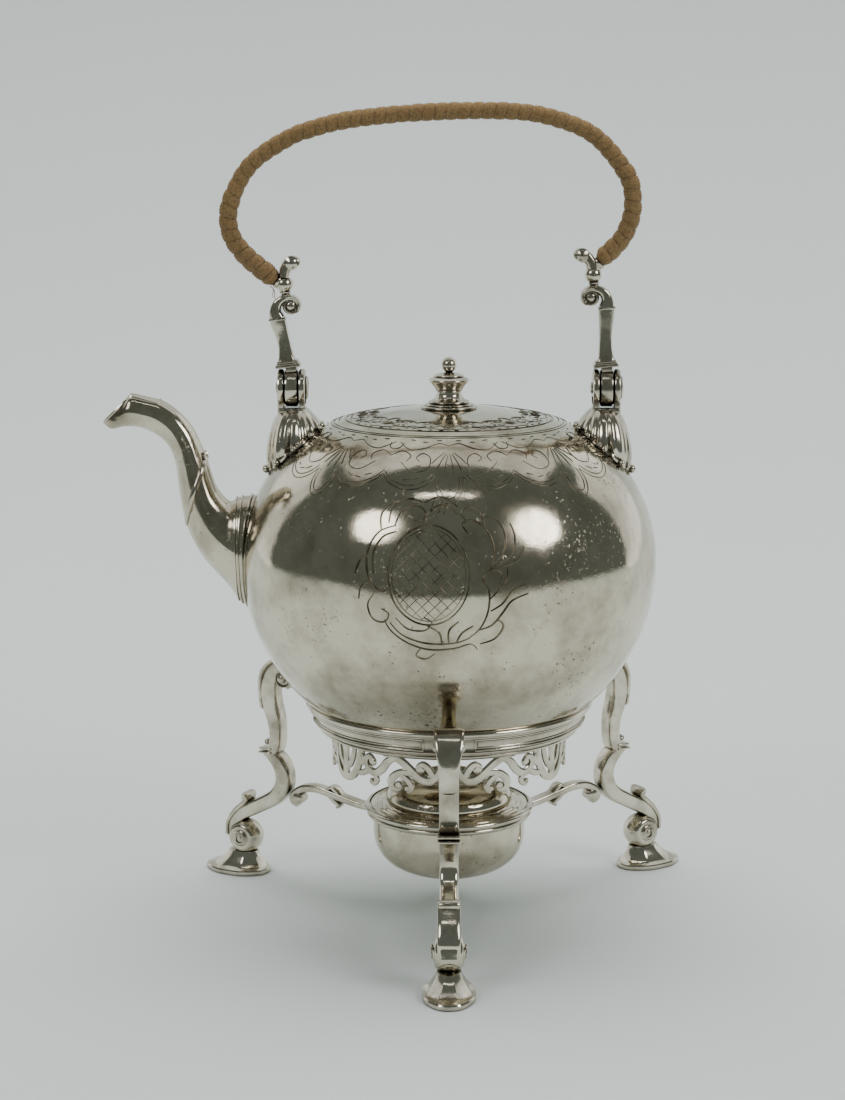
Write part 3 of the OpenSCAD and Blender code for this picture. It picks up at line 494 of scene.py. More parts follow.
# The frame: C-scrolls left and right, a raffled shell above, a long scroll below, and sprays at the sides
FRAME = [
    [(-24, 30), (-31, 27), (-35, 19), (-34, 9), (-29, 3), (-24, 5), (-24, 10), (-27.5, 11)],
    [(-23, 27.6), (-29, 25), (-32.4, 18), (-31.6, 10)],
    [(-31, 2), (-34, -3), (-32, -9), (-27, -10), (-25, -6.6), (-28, -4.4)],
    [(-27, -9), (-24, -14), (-17, -19), (-8, -21.6), (2, -21), (9, -19), (12, -21.4)],
    [(-24.6, -10), (-20, -15), (-13, -18), (-5, -19), (3, -18.4), (8, -16.6)],
    [(-22, -8), (-17, -12.6), (-10, -13), (-7, -9.6), (-10.4, -7.4)],
    [(8, -16.6), (13, -12), (16, -5), (16.4, 3), (14, 8), (17.6, 12), (22, 10), (21, 6)],
    [(12, -13), (17.6, -11), (22, -6), (26, -1), (33, 1.6)],
    [(17, -5), (22, -2), (26, 3), (32, 5.6)], [(16.8, 0), (20, 3.4), (24, 8), (24.4, 13)],
    [(13, -19), (19, -17), (22.6, -12), (20.6, -9), (18, -10.6)],
    [(14, 8), (18, 14), (19, 22), (16, 29), (10, 33), (6, 31), (8, 27.4)],
    [(18, 14), (23, 19), (24.6, 26), (22, 32), (17, 34)],
    [(20, 14), (26.6, 18), (28.8, 25), (27.4, 31)], [(22, 13), (29, 15.6), (32.6, 21)],
    [(16, 29), (14, 36), (9, 38.6), (5, 36), (7.4, 33)],
    [(-24, 30), (-22, 36), (-16, 39), (-11, 36.6), (-12, 32.6), (-15.6, 32.6)],
    [(-27, 31), (-26, 38), (-19, 42), (-12, 40.6)],
    [(-30, 28), (-31, 35), (-26, 41)], [(-12, 40), (-6, 43), (0, 42), (4, 38.6)],
    [(-9, 37), (-4, 39.6), (1, 38.4), (3.6, 35.4)],
    [(-5, 36), (-2, 41)], [(-2.4, 35.4), (0, 40)], [(-8, 36.4), (-6.6, 42)], [(-33, 7), (-37, 4), (-38, -1)],
    [(-34, 17), (-38, 15), (-40, 9)],
    [(-12, -21), (-14, -24.4), (-10, -26), (-6, -23.4)], [(-3, -19), (-4, -14), (-9, -11)],
    [(0, -19), (0, -13), (4, -9)], [(3, -18.4), (5.4, -14), (10, -11)]]
oval = [(-8.4 + 17 * math.cos(math.radians(a)), 10 + 20.6 * math.sin(math.radians(a))) for a in range(0, 361,
    20)]
inner_oval = [(-8.4 + 15.4 * math.cos(math.radians(a)), 10 + 19 * math.sin(math.radians(a))) for a in range(0,
    361, 20)]
# A plain lattice fills the oval
lattice = []
for lean in (-1, 1):
    for k in range(-4, 5):
        ends = []
        for t in (m / 60 for m in range(-60, 61)):
            across, up = k * 5.2 + lean * t * 19, t * 19
            if (across / 15.4) ** 2 + (up / 19) ** 2 < 0.97:
                ends.append((-8.4 + across, 10 + up))
        if len(ends) > 8:
            lattice.append([ends[0], ends[len(ends) // 2], ends[-1]])
for mesh in (chased(FRAME + [oval], on_front, 0.44), chased([inner_oval] + lattice, on_front, 0.2)):
    band.from_mesh(mesh)
made(band, "chased_shoulder_and_front", chased_line, "kettle", corner=80)
band = bmesh.new()
repeated(band, chased(both, on_lid, 0.2), 8)
made(band, "chased_lid_band", chased_line, "lid", corner=80)

# ---------------------------------------------------------------- handle sockets
# Cast leaf mounts soldered to the shoulder on both sides, each with the two outer plates of a hinge.
# Lobed leaves spread over the silver and end in beads.

HINGE_X, HINGE_Z = 68.9, 237.19


def block(bm, centre, size, bevel, place=Matrix()):
    """A block with softened edges."""
    at = place @ Matrix.Translation(centre) @ Matrix.Diagonal((*size, 1))
    new = bmesh.ops.create_cube(bm, size=1, matrix=at)["verts"]
    bmesh.ops.bevel(bm, geom=list({e for v in new for e in v.link_edges}), offset=bevel, segments=3,
                    profile=0.5,
                    affect="EDGES", material=-1)


def hood(flip, a, share, thick, flat, bulge, vein=0.0):
    """A point of the socket's hood at an angle round it, by share of its size and thickness."""
    lobe = 1 + (0.1 * abs(math.cos(3.5 * a)) ** 0.6 - 0.03 + vein * math.cos(21 * a)) * (1 - flat)
    grow = (share + bulge * max(math.cos(a), 0)) * lobe
    x, y = HINGE_X - 1.6 + 10.7 * grow * math.cos(a), 16 * grow * math.sin(a)
    under = shoulder_z(min(math.hypot(x, y), BODY_R - 0.5))
    round_z = under + thick * (0.62 + 0.38 * math.cos(a))
    return Vector((flip * x, y, (1 - flat) * round_z + flat * (HINGE_Z - 9.2)))


for name, flip in (("left", -1), ("right", 1)):
    mount = bmesh.new()
    steps = [(0.9, -0.5, 0, 0), (1.0, -0.2, 0, 0), (1.04, 1.0, 0, 0.02), (1.03, 2.6, 0, 0.06),
             (0.97, 3.6, 0, 0.1), (0.98, 5.6, 0, 0.14),
             (0.96, 8, 0.05, 0.19), (0.92, 10.4, 0.12, 0.2), (0.86, 12.6, 0.25, 0.19), (0.8, 14.2, 0.4, 0.15),
             (0.74, 15, 0.56, 0.11),
             (0.68, 15, 0.7, 0.07), (0.62, 15, 0.84, 0.04), (0.54, 15, 0.98, 0), (0.3, 15, 1, 0)]
    rings = []
    for size, thick, flat, bulge in steps:
        ring = [hood(flip, math.radians(i * 2.5), size, thick, flat, bulge,
            0.022 if thick > 3 else 0) for i in range(144)]
        rings.append(ring[::flip])
    loft(mount, rings)
    for a, r in ((0, 1.9), (26, 1.4), (-26, 1.4), (52, 1.6), (-52, 1.6), (90, 1.4), (-90, 1.4), (180, 1.5),
        (128, 1.3), (-128, 1.3), (154, 1.2), (-154, 1.2)):
        bead = Matrix.Translation(hood(flip, math.radians(a), 1.06, 3.4, 0, 0.1))
        turned(mount, arc((0, 0), r, -90, 90, 10), bead, 16)
    # A beaded step under the hinge
    block(mount, (flip * HINGE_X, 0, HINGE_Z - 9.6), (12.0, 14, 1.8), 0.7)
    for plate in (-1, 1):
        at = Matrix.Translation((flip * HINGE_X + plate * 4.6, 0,
            HINGE_Z)) @ Matrix.Rotation(math.radians(90), 4, "Y")
        disc = [(1.7, -1.4), (7.3, -1.4), (8.0, -1.1), (8.2, -0.6), (8.2, 0.6), (8.0, 1.1), (7.3, 1.4),
            (1.7, 1.4)]
        turned(mount, disc, at, 56, closed=True)
        block(mount, (flip * HINGE_X + plate * 4.6, 0, HINGE_Z - 6.4), (2.8, 11, 6.6), 0.6)
    made(mount, "socket_mount_" + name, cast_silver, "kettle", ["handle_socket_" + name],
        corner=34)
    pin = bmesh.new()
    at = Matrix.Translation((flip * HINGE_X, 0, HINGE_Z)) @ Matrix.Rotation(math.radians(90), 4, "Y")
    turned(pin, [(0, -7.2), (1.6, -7.1), (2.5, -6.7), (2.6, -6.05), (1.6, -6.04), (1.6, 6.04), (5.0, 6.05),
                 (5.2, 6.5),
                 (4.6, 7.1), (3.4, 7.3), (2.9, 7.0), (2.2, 7.0), (0, 7.4)], at, 48)
    made(pin, "hinge_rivet_" + name, cast_silver, "kettle", ["hinge_pin_" + name], corner=40)

# ---------------------------------------------------------------- handle arms
# Cast in one with the middle plate of the hinge: a moulded collar, a tapering bar, a volute, a ball
# and an upper curl from which the socket of the grip springs.

LEAN, FERRULE_TURN, FERRULE_UP, BENT = 5.4, 48, 47.7, 3.9
HALF_DEPTH = 3.9


def bar(bm, line, width, place=Matrix(), steps=4, square=0.42):
    """A casting along points (across, up, half thickness), width deep, with softened corners."""
    points = spline(line, steps)
    sides = 20
    rings = []
    for i, p in enumerate(points):
        ahead, behind = points[min(i + 1, len(points) - 1)], points[max(i - 1, 0)]
        run = Vector((ahead[0] - behind[0], ahead[1] - behind[1])).normalized()
        wide = width * (p[3] if len(p) > 3 else 1) / 2
        ring = []
        for k in range(sides):
            c, s = math.cos((k + 0.5) * math.tau / sides), math.sin((k + 0.5) * math.tau / sides)
            u = p[2] * math.copysign(abs(c) ** square, c)
            w = wide * math.copysign(abs(s) ** square, s)
            ring.append(place @ Vector((p[0] - run[1] * u, w, p[1] + run[0] * u)))
        rings.append(ring)
    loft(bm, rings)


def coil(bm, centre, start, end, turn0, turn1, thick, y, place=Matrix()):
    """A raised spiral on the side of a volute, radius start to end."""
    line, size = [], []
    for k in range(37):
        t = k / 36
        a = math.radians(turn0 + (turn1 - turn0) * t)
        r = start + (end - start) * t
        line.append(place @ Vector((centre[0] + r * math.cos(a), y, centre[1] + r * math.sin(a))))
        size.append(thick * (1 - 0.45 * t))
    wire(bm, line, size, 8)


for name, flip in (("left", -1), ("right", 1)):
    arm = bmesh.new()
    stand = Matrix.Translation((flip * HINGE_X, 0, HINGE_Z)) @ Matrix.Rotation(math.radians(-LEAN), 4, "Y")
    place = stand @ Matrix.Diagonal((flip, 1, 1, 1))
    level = Matrix.Translation((flip * HINGE_X, 0, HINGE_Z)) @ Matrix.Rotation(math.radians(90), 4, "Y")
    rise = 2.2 * flip
    turned(arm, [(1.68, -2.9), (7.3, -2.9), (8.0, -2.5), (8.2, -1.9), (8.2, 1.9), (8.0, 2.5), (7.3, 2.9),
           (1.68, 2.9)],
           level, 56, closed=True)
    block(arm, (flip * 0.8, 0, 8.6), (4.8, 8.8, 2.8), 0.4, place)
    # Collar mouldings, wider than the bar
    for z, wide, deep, tall in ((9.75, 11.0, 9.4, 1.1), (10.65, 10.0, 8.6, 0.9), (11.6, 9.2, 7.8, 1.2)):
        block(arm, (0.5, 0, z), (wide, deep, tall), 0.4, place)
    bar(arm, [(0.8, 11.8, 4.2, 1.0), (0.85, 13.4, 3.4, 0.92), (0.95, 17, 2.9, 0.86), (1.3, 21, 2.75, 0.84),
              (1.8, 25 + rise * 0.4, 2.9, 0.88),
              (2.5, 29.4 + rise * 0.8, 3.3, 0.96), (2.9, 32 + rise, 3.5, 1.0)], 2 * HALF_DEPTH, place, 5,
              0.34)
    block(arm, (3.0, 0, 32.6 + rise), (7.6, 8.6, 1.1), 0.4, place)
    bar(arm, [(3.0, 33 + rise, 3.3), (3.5, 36 + rise, 2.6), (2.3, 39.2 + rise, 2.2), (-0.6, 41.2 + rise, 1.8),
              (-3.6, 41.5 + rise, 1.4),
              (-6.1, 40.2 + rise, 1.2), (-7.0, 37.8 + rise, 1.1), (-6.0, 35.7 + rise, 1.0),
              (-4, 35.2 + rise, 0.9)], 8.4, place, 5, 0.5)
    eye = Matrix.Rotation(math.radians(90), 4, "X")
    turned(arm, [(0, -4.7), (1.3, -4.6), (1.9, -4.1), (2.1, -3.5), (3.7, -3.4), (3.9, 0), (3.7, 3.4),
                 (2.1, 3.5), (1.9, 4.1),
                 (1.3, 4.6), (0, 4.7)], place @ Matrix.Translation((-3.6, 0, 38 + rise)) @ eye, 40)
    for y in (-4.1, 4.1):
        coil(arm, (-3.6, 38 + rise), 4.1, 1.7, 60, 560, 0.55, y, place)
    turned(arm, [(0, 41.4), (2.7, 42), (2.1, 42.7), (1.9, 43.2), (2.5, 43.6), (2.6, 44)] + arc((0, 47.4), 3.7,
           -60, 54, 14)
           + [(2.2, 50.6), (2.7, 50.9), (2.6, 51.4), (1.8, 51.8), (0, 52)],
           place @ Matrix.Translation((-1.6, 0, rise)), 40)
    bar(arm, [(-1.8, 50.4 + rise, 2.0), (-2.2, 52.4 + rise, 2.3), (-3.1, 54.4 + rise, 2.5),
              (-4.6, 56.3 + rise, 2.5), (-6.5, 57.4 + rise, 2.1),
              (-8.1, 56.7 + rise, 1.6), (-8.2, 55.1 + rise, 1.2)], 6.6, place, 4, 0.6)
    turned(arm, [(0, -4.2), (1.3, -4.1), (2.0, -3.5), (3.1, -3.1), (3.2, 0), (3.1, 3.1), (2.0, 3.5),
           (1.3, 4.1), (0, 4.2)],
           place @ Matrix.Translation((-5.7, 0, 56.3 + rise)) @ eye, 32)
    # Ferrule in which the grip's core is pinned
    turned(arm, [(0, -1), (2.9, -0.8), (3.2, 0), (3.2, 1.0), (2.8, 1.6), (2.8, 3.2), (3.2, 3.7), (3.2, 4.5),
           (2.5, 5), (0, 5)],
           place @ Matrix.Translation((-2, 0,
           FERRULE_UP + BENT * flip)) @ Matrix.Rotation(math.radians(FERRULE_TURN), 4, "Y"), 32)
    made(arm, "handle_scroll_" + name, cast_silver, "handle", ["handle_arm_" + name],
        corner=40)

# ---------------------------------------------------------------- grip
# A metal core bent to a flat-topped loop and wound from end to end with split cane, so that the hand
# stays cool. Each turn is a bundle of strands that bulges between its neighbours.

GRIP_RISE = 68
GRIP_GRID = [(-1.153, 0.066), (-1.21, 0.13), (-1.255, 0.193), (-1.283, 0.282), (-1.282, 0.382),
             (-1.241, 0.507), (-1.171, 0.632),
             (-1.072, 0.731), (-0.899, 0.838), (-0.79, 0.882), (-0.57, 0.941), (-0.241, 0.981), (0.088, 1),
             (0.416, 1), (0.636, 0.975),
             (0.856, 0.904), (0.985, 0.821), (1.095, 0.696), (1.173, 0.571), (1.195, 0.437), (1.181, 0.319),
             (1.124, 0.193)]


def leaned(flip, out, up):
    """A point of the leaned arm, outward and up from its pin."""
    a = math.radians(LEAN)
    return Vector((flip * HINGE_X + flip * out * math.cos(a) - up * math.sin(a), 0,
                   HINGE_Z + up * math.cos(a) + flip * out * math.sin(a)))


def on_ferrule(flip, run):
    """A point of the line on which the grip leaves its ferrule."""
    a = math.radians(FERRULE_TURN)
    return leaned(flip, -2 + run * math.sin(a), FERRULE_UP + BENT * flip + run * math.cos(a))


grip_from, grip_to = on_ferrule(-1, 5), on_ferrule(1, 5)
middle, half = (on_ferrule(-1, 5.4) + on_ferrule(1, 5.4)) / 2, (on_ferrule(1, 5.4).x - on_ferrule(-1,
    5.4).x) / 2
knots = [tuple(grip_from), tuple(on_ferrule(-1, 8))] + [(middle.x + gx * half, 0,
    middle.z + gz * GRIP_RISE) for gx, gz in GRIP_GRID]
knots += [tuple(on_ferrule(1, 8)), tuple(grip_to)]
rail = spline(knots, 24)
lengths = [0.0]
for a, b in zip(rail, rail[1:]):
    lengths.append(lengths[-1] + (b - a).length)


def along_grip(s):
    """Place and direction at a length along the grip."""
    s = min(max(s, 0), lengths[-1])
    i = next((k for k in range(1, len(lengths)) if lengths[k] >= s), len(lengths) - 1)
    t = (s - lengths[i - 1]) / (lengths[i] - lengths[i - 1])
    before, after = rail[max(i - 3, 0)], rail[min(i + 2, len(rail) - 1)]
    return rail[i - 1].lerp(rail[i], t), (after - before).normalized()


# Millimetres between turns of the cane, and between the rings that shape them
TURN, STEP = 5.2, 0.325
random.seed(7)
wobble = [random.uniform(-0.35, 0.35) for _ in range(90)]
fat = [random.uniform(0.97, 1.03) for _ in range(90)]
winding = bmesh.new()
rings = []
count = int(lengths[-1] / STEP)
for i in range(count + 1):
    s = lengths[-1] * i / count
    at, run = along_grip(s)
    side = Vector((-run.z, 0, run.x))
    swell = 1 + 0.2 * max(0, 1 - s / 55) + 0.12 * max(0, 1 - (lengths[-1] - s) / 75)
    ring = []
    for k in range(28):
        a = k * math.tau / 28
        # The turns lie a little aslant, so each climbs as it goes round
        turn = (s + wobble[int(s / TURN)] * math.sin(a)) / TURN + 0.32 * math.sin(a * 0.5) ** 2
        bulge = abs(math.sin(math.pi * turn)) ** 0.45
        strand = abs(math.sin(4 * math.pi * turn)) ** 0.6
        end = min(1, 0.62 + s / 9, 0.62 + (lengths[-1] - s) / 9)
        r = (3.0 + 0.6 * bulge + 0.28 * strand) * fat[int(turn) % 90] * end * swell
        ring.append(at + side * (r * math.cos(a)) + Vector((0, r * math.sin(a), 0)))
    rings.append(ring)
loft(winding, rings)
split_cane, tree, shader = blank("split cane winding, oiled by hands")
where = add(tree, "ShaderNodeTexCoord").outputs["Object"]
# Fibres about a millimetre apart, blotches from the hand, and painted shade in the grooves between the turns
fibre = noise(tree, where, 900, 6, 0.7)
shade = blend(tree, noise(tree, where, 55, 4, 0.6), tint("#80643f"), tint("#9c7f53"))
shade = blend(tree, spread(tree, fibre, 0.45, 0.75), shade, tint("#54432c"))
# Painted shade: occluded grooves between the turns are darkened towards near black
painted_groove_shade = add(tree, "ShaderNodeAmbientOcclusion", {"Distance": 0.0016}, samples=6).outputs["AO"]
shade = blend(tree, spread(tree, painted_groove_shade, 0.4, 0.97, 0.9, 0), shade, tint("#2e2417"))
tree.links.new(shade, shader.inputs["Base Color"])
shader.inputs["Roughness"].default_value = 0.62
shader.inputs["Specular IOR Level"].default_value = 0.35
tree.links.new(add(tree, "ShaderNodeBump", {"Height": fibre, "Strength": 0.5, "Distance": 0.0005})
               .outputs["Normal"], shader.inputs["Normal"])
made(winding, "grip_winding", split_cane, "handle", ["handle_wrap"], corner=80)
# Ends of the cane that have worked loose at the spout's side
frayed = bmesh.new()
for dx, dz, dy in ((3.4, -6.5, -3), (2.0, -5.0, -2)):
    root = grip_from + Vector((-2.4, -3.0, -2.2))
    tip = root + Vector((dx, dy, dz))
    wire(frayed, [root.lerp(tip, k / 8) + Vector((math.sin(k * 0.7) * 0.7, 0, 0)) for k in range(9)],
         [0.22 - 0.015 * k for k in range(9)], 6)
made(frayed, "grip_frayed_end", split_cane, "handle", ())

# ---------------------------------------------------------------- stand ring
# A heavy turned ring with a rolled rim, a cove and reeded bands. Sunk panels with mitred ends run
# round the cove between the legs.

ring_silver = silver("cast silver ring, turned and polished", "#dad2c1", "#8d8471", 0.06, 22, 0.8, 0.2, 16,
    0.06, hollows=0.65)
hoop = bmesh.new()
seat = arc((BODY_R - LOW_ARC, BELLY_Z), LOW_ARC + 0.3, -49.8, -60.5, 12)
turned(hoop, [(61.7, 97.6)] + arc((62.9, 96.7), 1.35, 110, -60, 12) + [(63.2, 95.3), (63.1, 94.9),
       (62.4, 94.6)]
       + arc((65.6, 90.4), 5.2, 130, 196, 10) + [(60.3, 88.9), (59.4, 88.7)] + arc((58.7, 87.8), 0.95, 80,
       -80, 8)
       + [(57.9, 86.8), (57.7, 86.2)] + arc((57.2, 85.5), 0.8, 70, -80, 8) + [(56.4, 84.6), (55.4, 84.2),
       (54.4, 83.5), (53.0, 83.4),
       (53.0, 88.2)] + [p for p in seat[::-1] if p[1] > 88.6], turns=200, closed=True)
LEGS = {"front": -90, "right": 32, "left": 153}
# Fillets that frame the sunk panels
azimuths = sorted(LEGS.values())
for first, second in zip(azimuths, azimuths[1:] + [azimuths[0] + 360]):
    a0, a1 = first + 10.5, second - 10.5
    for inset, fat_mm in ((0, 0.5), (1.15, 0.32)):
        low, high, cut = 89.2 + inset, 94.3 - inset * 0.9, math.degrees(inset * 1.1 / 61)
        corners = [(a0 + cut, low), (a1 - cut, low), (a1 - cut, high), (a0 + cut, high), (a0 + cut, low)]
        line = []
        for (b0, z0), (b1, z1) in zip(corners, corners[1:]):
            n = 60 if abs(b1 - b0) > 1 else 8
            for k in range(n):
                b, z = math.radians(b0 + (b1 - b0) * k / n), z0 + (z1 - z0) * k / n
                r = 65.6 - math.sqrt(max(5.2 ** 2 - (z - 90.4) ** 2, 0)) + 0.12
                line.append(Vector((r * math.cos(b), r * math.sin(b), z)))
        wire(hoop, line, [fat_mm] * len(line), 8)
made(hoop, "stand_hoop", ring_silver, "stand", ["stand_ring"], corner=36)

# ---------------------------------------------------------------- apron
# A hoop of sheet soldered inside the ring, sawn and chased to scrolls and leaves that repeat three
# times, each pattern mirrored about a leg.

APRON_R = 52
band = bmesh.new()
turned(band, [(51.3, 83.6), (51.9, 83.1), (52.6, 83.6), (52.6, 88.9), (51.3, 88.9)], turns=160, closed=True)
STROKES = [
    [(0, 83.4, 2.2), (2.6, 79.4, 1.9), (5.2, 75.6, 1.8), (8.6, 73.4, 1.8), (12.6, 74.3, 1.7),
     (16.4, 77.6, 1.6), (20.6, 81, 1.6),
     (25.6, 83.2, 1.5), (30, 84.2, 1.3)],
    [(6.6, 74.6, 1.2), (8.4, 78.4, 1.4), (11.2, 80.6, 1.3), (13.3, 79.3, 1.1), (12.6, 77.4, 1.2)],
    [(23, 83.2, 1.2), (27.6, 80.4, 1.6), (30.8, 76.4, 1.7), (34.6, 74.2, 1.7), (38.4, 75.8, 1.5),
     (39.8, 79.2, 1.3), (37.6, 81.2, 1.2),
     (35.6, 79.6, 1.3)],
    [(13.5, 75.4, 1.1), (18.2, 76.6, 1.4), (23, 75.4, 1.6), (26, 72.2, 1.6), (25.2, 69.2, 1.4),
    (22.6, 68.9, 1.2), (21.6, 70.8, 1.2)],
    [(22, 75.4, 1.0), (19.4, 74.2, 1.2), (16.8, 71.6, 1.3), (16.6, 69.2, 1.1), (18.4, 68.4, 1.1)],
    [(37.6, 75.4, 1.1), (41, 73.2, 1.3), (44.6, 72.6, 1.2)],
    [(41.6, 84.2, 1.3), (43.6, 80, 1.6), (44.8, 75.6, 1.7), (47.6, 71.2, 1.7), (51.6, 68.8, 1.5),
    (55.1, 68.4, 1.4)],
    [(47.2, 84.2, 1.1), (48.4, 79.2, 1.4), (50.8, 75, 1.4), (55.1, 72.6, 1.3)],
    [(55.1, 84.2, 1.5), (54.8, 78, 1.6), (55.1, 72, 1.5), (55.1, 67.6, 1.0)],
    [(35.2, 74.8, 0.9), (33.4, 71.8, 1.2), (34.6, 69.4, 1.0), (36.6, 69.8, 1.0)],
    [(44.6, 75.8, 0.9), (41.2, 78.2, 1.1), (41.8, 80.8, 1.0)],
]
LOBES = [(12.4, 78.2, 1.9), (35.8, 79.0, 2.0), (22.3, 70.4, 1.9), (18.2, 69.3, 1.5), (36.2, 70.3, 1.3),
    (29, 84, 1.7), (42, 81, 1.3)]
for third in range(3):
    for flip in (-1, 1):
        base = -90 + 120 * third
        for stroke in STROKES:
            rings = []
            points = spline(stroke, 4)
            for i, p in enumerate(points):
                ahead, behind = points[min(i + 1, len(points) - 1)], points[max(i - 1, 0)]
                run = Vector((ahead[0] - behind[0], ahead[1] - behind[1])).normalized()
                ring = []
                for k in range(12):
                    c, s = math.cos((k + 0.5) * math.tau / 12), math.sin((k + 0.5) * math.tau / 12)
                    u = p[2] * 1.12 * math.copysign(abs(c) ** 0.55, c)
                    # Chased: the face of each scroll is crowned
                    r = APRON_R + 0.68 * math.copysign(abs(s) ** 0.4, s)
                    b = math.radians(base + flip * math.degrees((p[0] - run[1] * u) / APRON_R))
                    ring.append(Vector((r * math.cos(b), r * math.sin(b), p[1] + run[0] * u)))
                rings.append(ring)
            loft(band, rings)
        for u, z, r in LOBES:
            b = base + flip * math.degrees(u / APRON_R)
            at = Matrix.Rotation(math.radians(b), 4,
                "Z") @ Matrix.Translation((APRON_R, 0, z)) @ Matrix.Rotation(math.radians(90), 4, "Y")
            turned(band, [(0, -0.7), (r - 0.3, -0.7), (r, -0.2), (r, 0.3), (r * 0.7, 0.75), (r * 0.45, 0.6),
                (0, 0.95)], at, 20)
made(band, "apron_scrollwork", cast_silver, "stand", ["stand_apron"], corner=50)

# ---------------------------------------------------------------- legs
# Three cast legs, each of two C-scrolls that meet at a pair of lips. The upper one leans over and
# curls back towards the ring, to which a strut ties it; a tongue overlaps its outer face.

TOP_LINE = [(93.2, 62.4, 5.0), (91.0, 64.0, 3.7), (89.9, 68.4, 3.1), (90.4, 76, 3.5), (92.4, 83, 4),
            (93.4, 90, 4.2),
            (92.4, 97, 4.1), (89, 102, 3.7), (84.6, 103.2, 3.2), (81.0, 100.6, 2.7), (80.8, 96.4, 2.3),
            (83.6, 94.0, 2.0)]
TONGUE = [(96.2, 81.0, 0.5, 0.3), (96.6, 82.0, 0.8, 0.6), (97.1, 84.4, 1.0, 0.66), (97.5, 88, 1.1, 0.64),
          (97.4, 93, 1.1, 0.72),
          (96.2, 98.4, 1.1, 0.86), (93.2, 103, 1.1, 0.97), (89.4, 105.6, 1.0, 1.0), (86, 106, 0.7, 0.9)]
SCROLL = [(95.4, 60.6, 1.6), (91.6, 58.9, 3), (88.2, 55.4, 3.6), (86.3, 50.4, 3.8), (86.8, 44.6, 4),
          (90.4, 39.4, 3.9),
          (96.6, 35.6, 3.7), (103.4, 32, 3.6), (109.6, 28.4, 3.3), (114.3, 23.4, 2.8), (116.4, 17.4, 2.2)]
DRUM, FOOT_REACH = (108.4, 17.4), 113
for name, azimuth in LEGS.items():
    out = Matrix.Rotation(math.radians(azimuth), 4, "Z")
    flat = Matrix.Rotation(math.radians(90), 4, "X")
    top = bmesh.new()
    bar(top, TOP_LINE, 8.2, out, 5, 0.36)
    bar(top, TONGUE, 12.6, out, 5, 0.5)
    # Boss through the eye of the volute, with a raised spiral on each side
    turned(top, [(0, -6.8), (1.3, -6.7), (2.0, -6.1), (2.2, -4.6), (3.6, -4.2), (4.0, -3.6), (4.0, 3.6),
                 (3.6, 4.2), (2.2, 4.6), (2.0, 6.1), (1.3, 6.7),
                 (0, 6.8)], out @ Matrix.Translation((84.6, 0, 97.6)) @ flat, 36)
    for y in (-4.3, 4.3):
        coil(top, (84.8, 97.6), 5.2, 3.0, 70, 470, 0.5, y, out)
    block(top, (94.6, 0, 62.6), (6.4, 9.6, 1.1), 0.4, out)
    bar(top, [(61.5, 93.6, 2.6, 1.3), (64, 94.2, 2.2, 1.05), (69, 95.0, 1.9, 0.85), (75, 95.8, 1.9, 0.85),
        (81, 96.8, 2.3, 1.0)], 8.6, out, 4, 0.5)
    made(top, "leg_upper_" + name, cast_silver, "stand", ["leg_top_" + name], corner=44)

    low = bmesh.new()
    bar(low, SCROLL, 8.0, out, 5, 0.36)
    block(low, (94.9, 0, 60.7), (6.8, 9.6, 1.1), 0.4, out)
    drum = out @ Matrix.Translation((DRUM[0], 0, DRUM[1])) @ flat
    # A round barrel with a raised spiral on each end
    turned(low, [(0, -6.9), (2.6, -6.8), (3.6, -6.4), (4.0, -5.9), (5.2, -5.9)] + arc((0, 0), 8.3, -44, 44,
           14)
           + [(5.2, 5.9), (4.0, 5.9), (3.6, 6.4), (2.6, 6.8), (0, 6.9)], drum, 48)
    for y in (-7.0, 7.0):
        coil(low, DRUM, 3.3, 0.8, 40, 560, 0.5, y, out)
    bar(low, [(116.6, 18, 1.0), (116.2, 24, 1.2), (112.6, 29.6, 1.5), (108.6, 33.4, 1.5), (106.2, 36.0, 1.3),
        (106.4, 38.2, 1.0), (107.8, 38.6, 0.8)],
        9.6, out, 4, 0.6)
    turned(low, [(0, -4.5), (1.4, -4.4), (1.9, -3.6), (2.0, 0), (1.9, 3.6), (1.4, 4.4), (0, 4.5)],
           out @ Matrix.Translation((106.8, 0, 37.0)) @ flat, 24)
    made(low, "leg_lower_" + name, cast_silver, "stand", ["leg_scroll_" + name], corner=44)

    # Foot: a fluted shell that spreads from under the drum to a moulded edge
    foot = bmesh.new()
    rings = []
    for size, z, flute in ((0.9, 0, 0.3), (0.985, 0.05, 0.3), (1.0, 0.5, 0.3), (1.0, 1.9, 0.3),
                           (0.975, 2.6, 0.3), (0.93, 2.9, 0.4),
                           (0.9, 3.1, 0.8), (0.8, 4.1, 1), (0.69, 5.6, 1), (0.58, 7.2, 1), (0.5, 8.9, 0.9),
                           (0.46, 10.3, 0.6), (0.3, 10.9, 0.2)):
        ring = []
        for k in range(80):
            a = k * math.tau / 80
            scallop = math.cos(math.pi / 8) / math.cos((a + math.pi / 8) % (math.pi / 4) - math.pi / 8)
            lobe = 1.02 - flute * (1 - scallop) * 0.8 - 0.02 * flute
            ring.append(out @ Vector((FOOT_REACH + 16.4 * size * lobe * math.cos(a) - (1 - size) * 6,
                11.2 * size * lobe * math.sin(a), z)))
        rings.append(ring)
    loft(foot, rings)
    made(foot, "foot_shell_" + name, cast_silver, "stand", ["foot_" + name], corner=24)

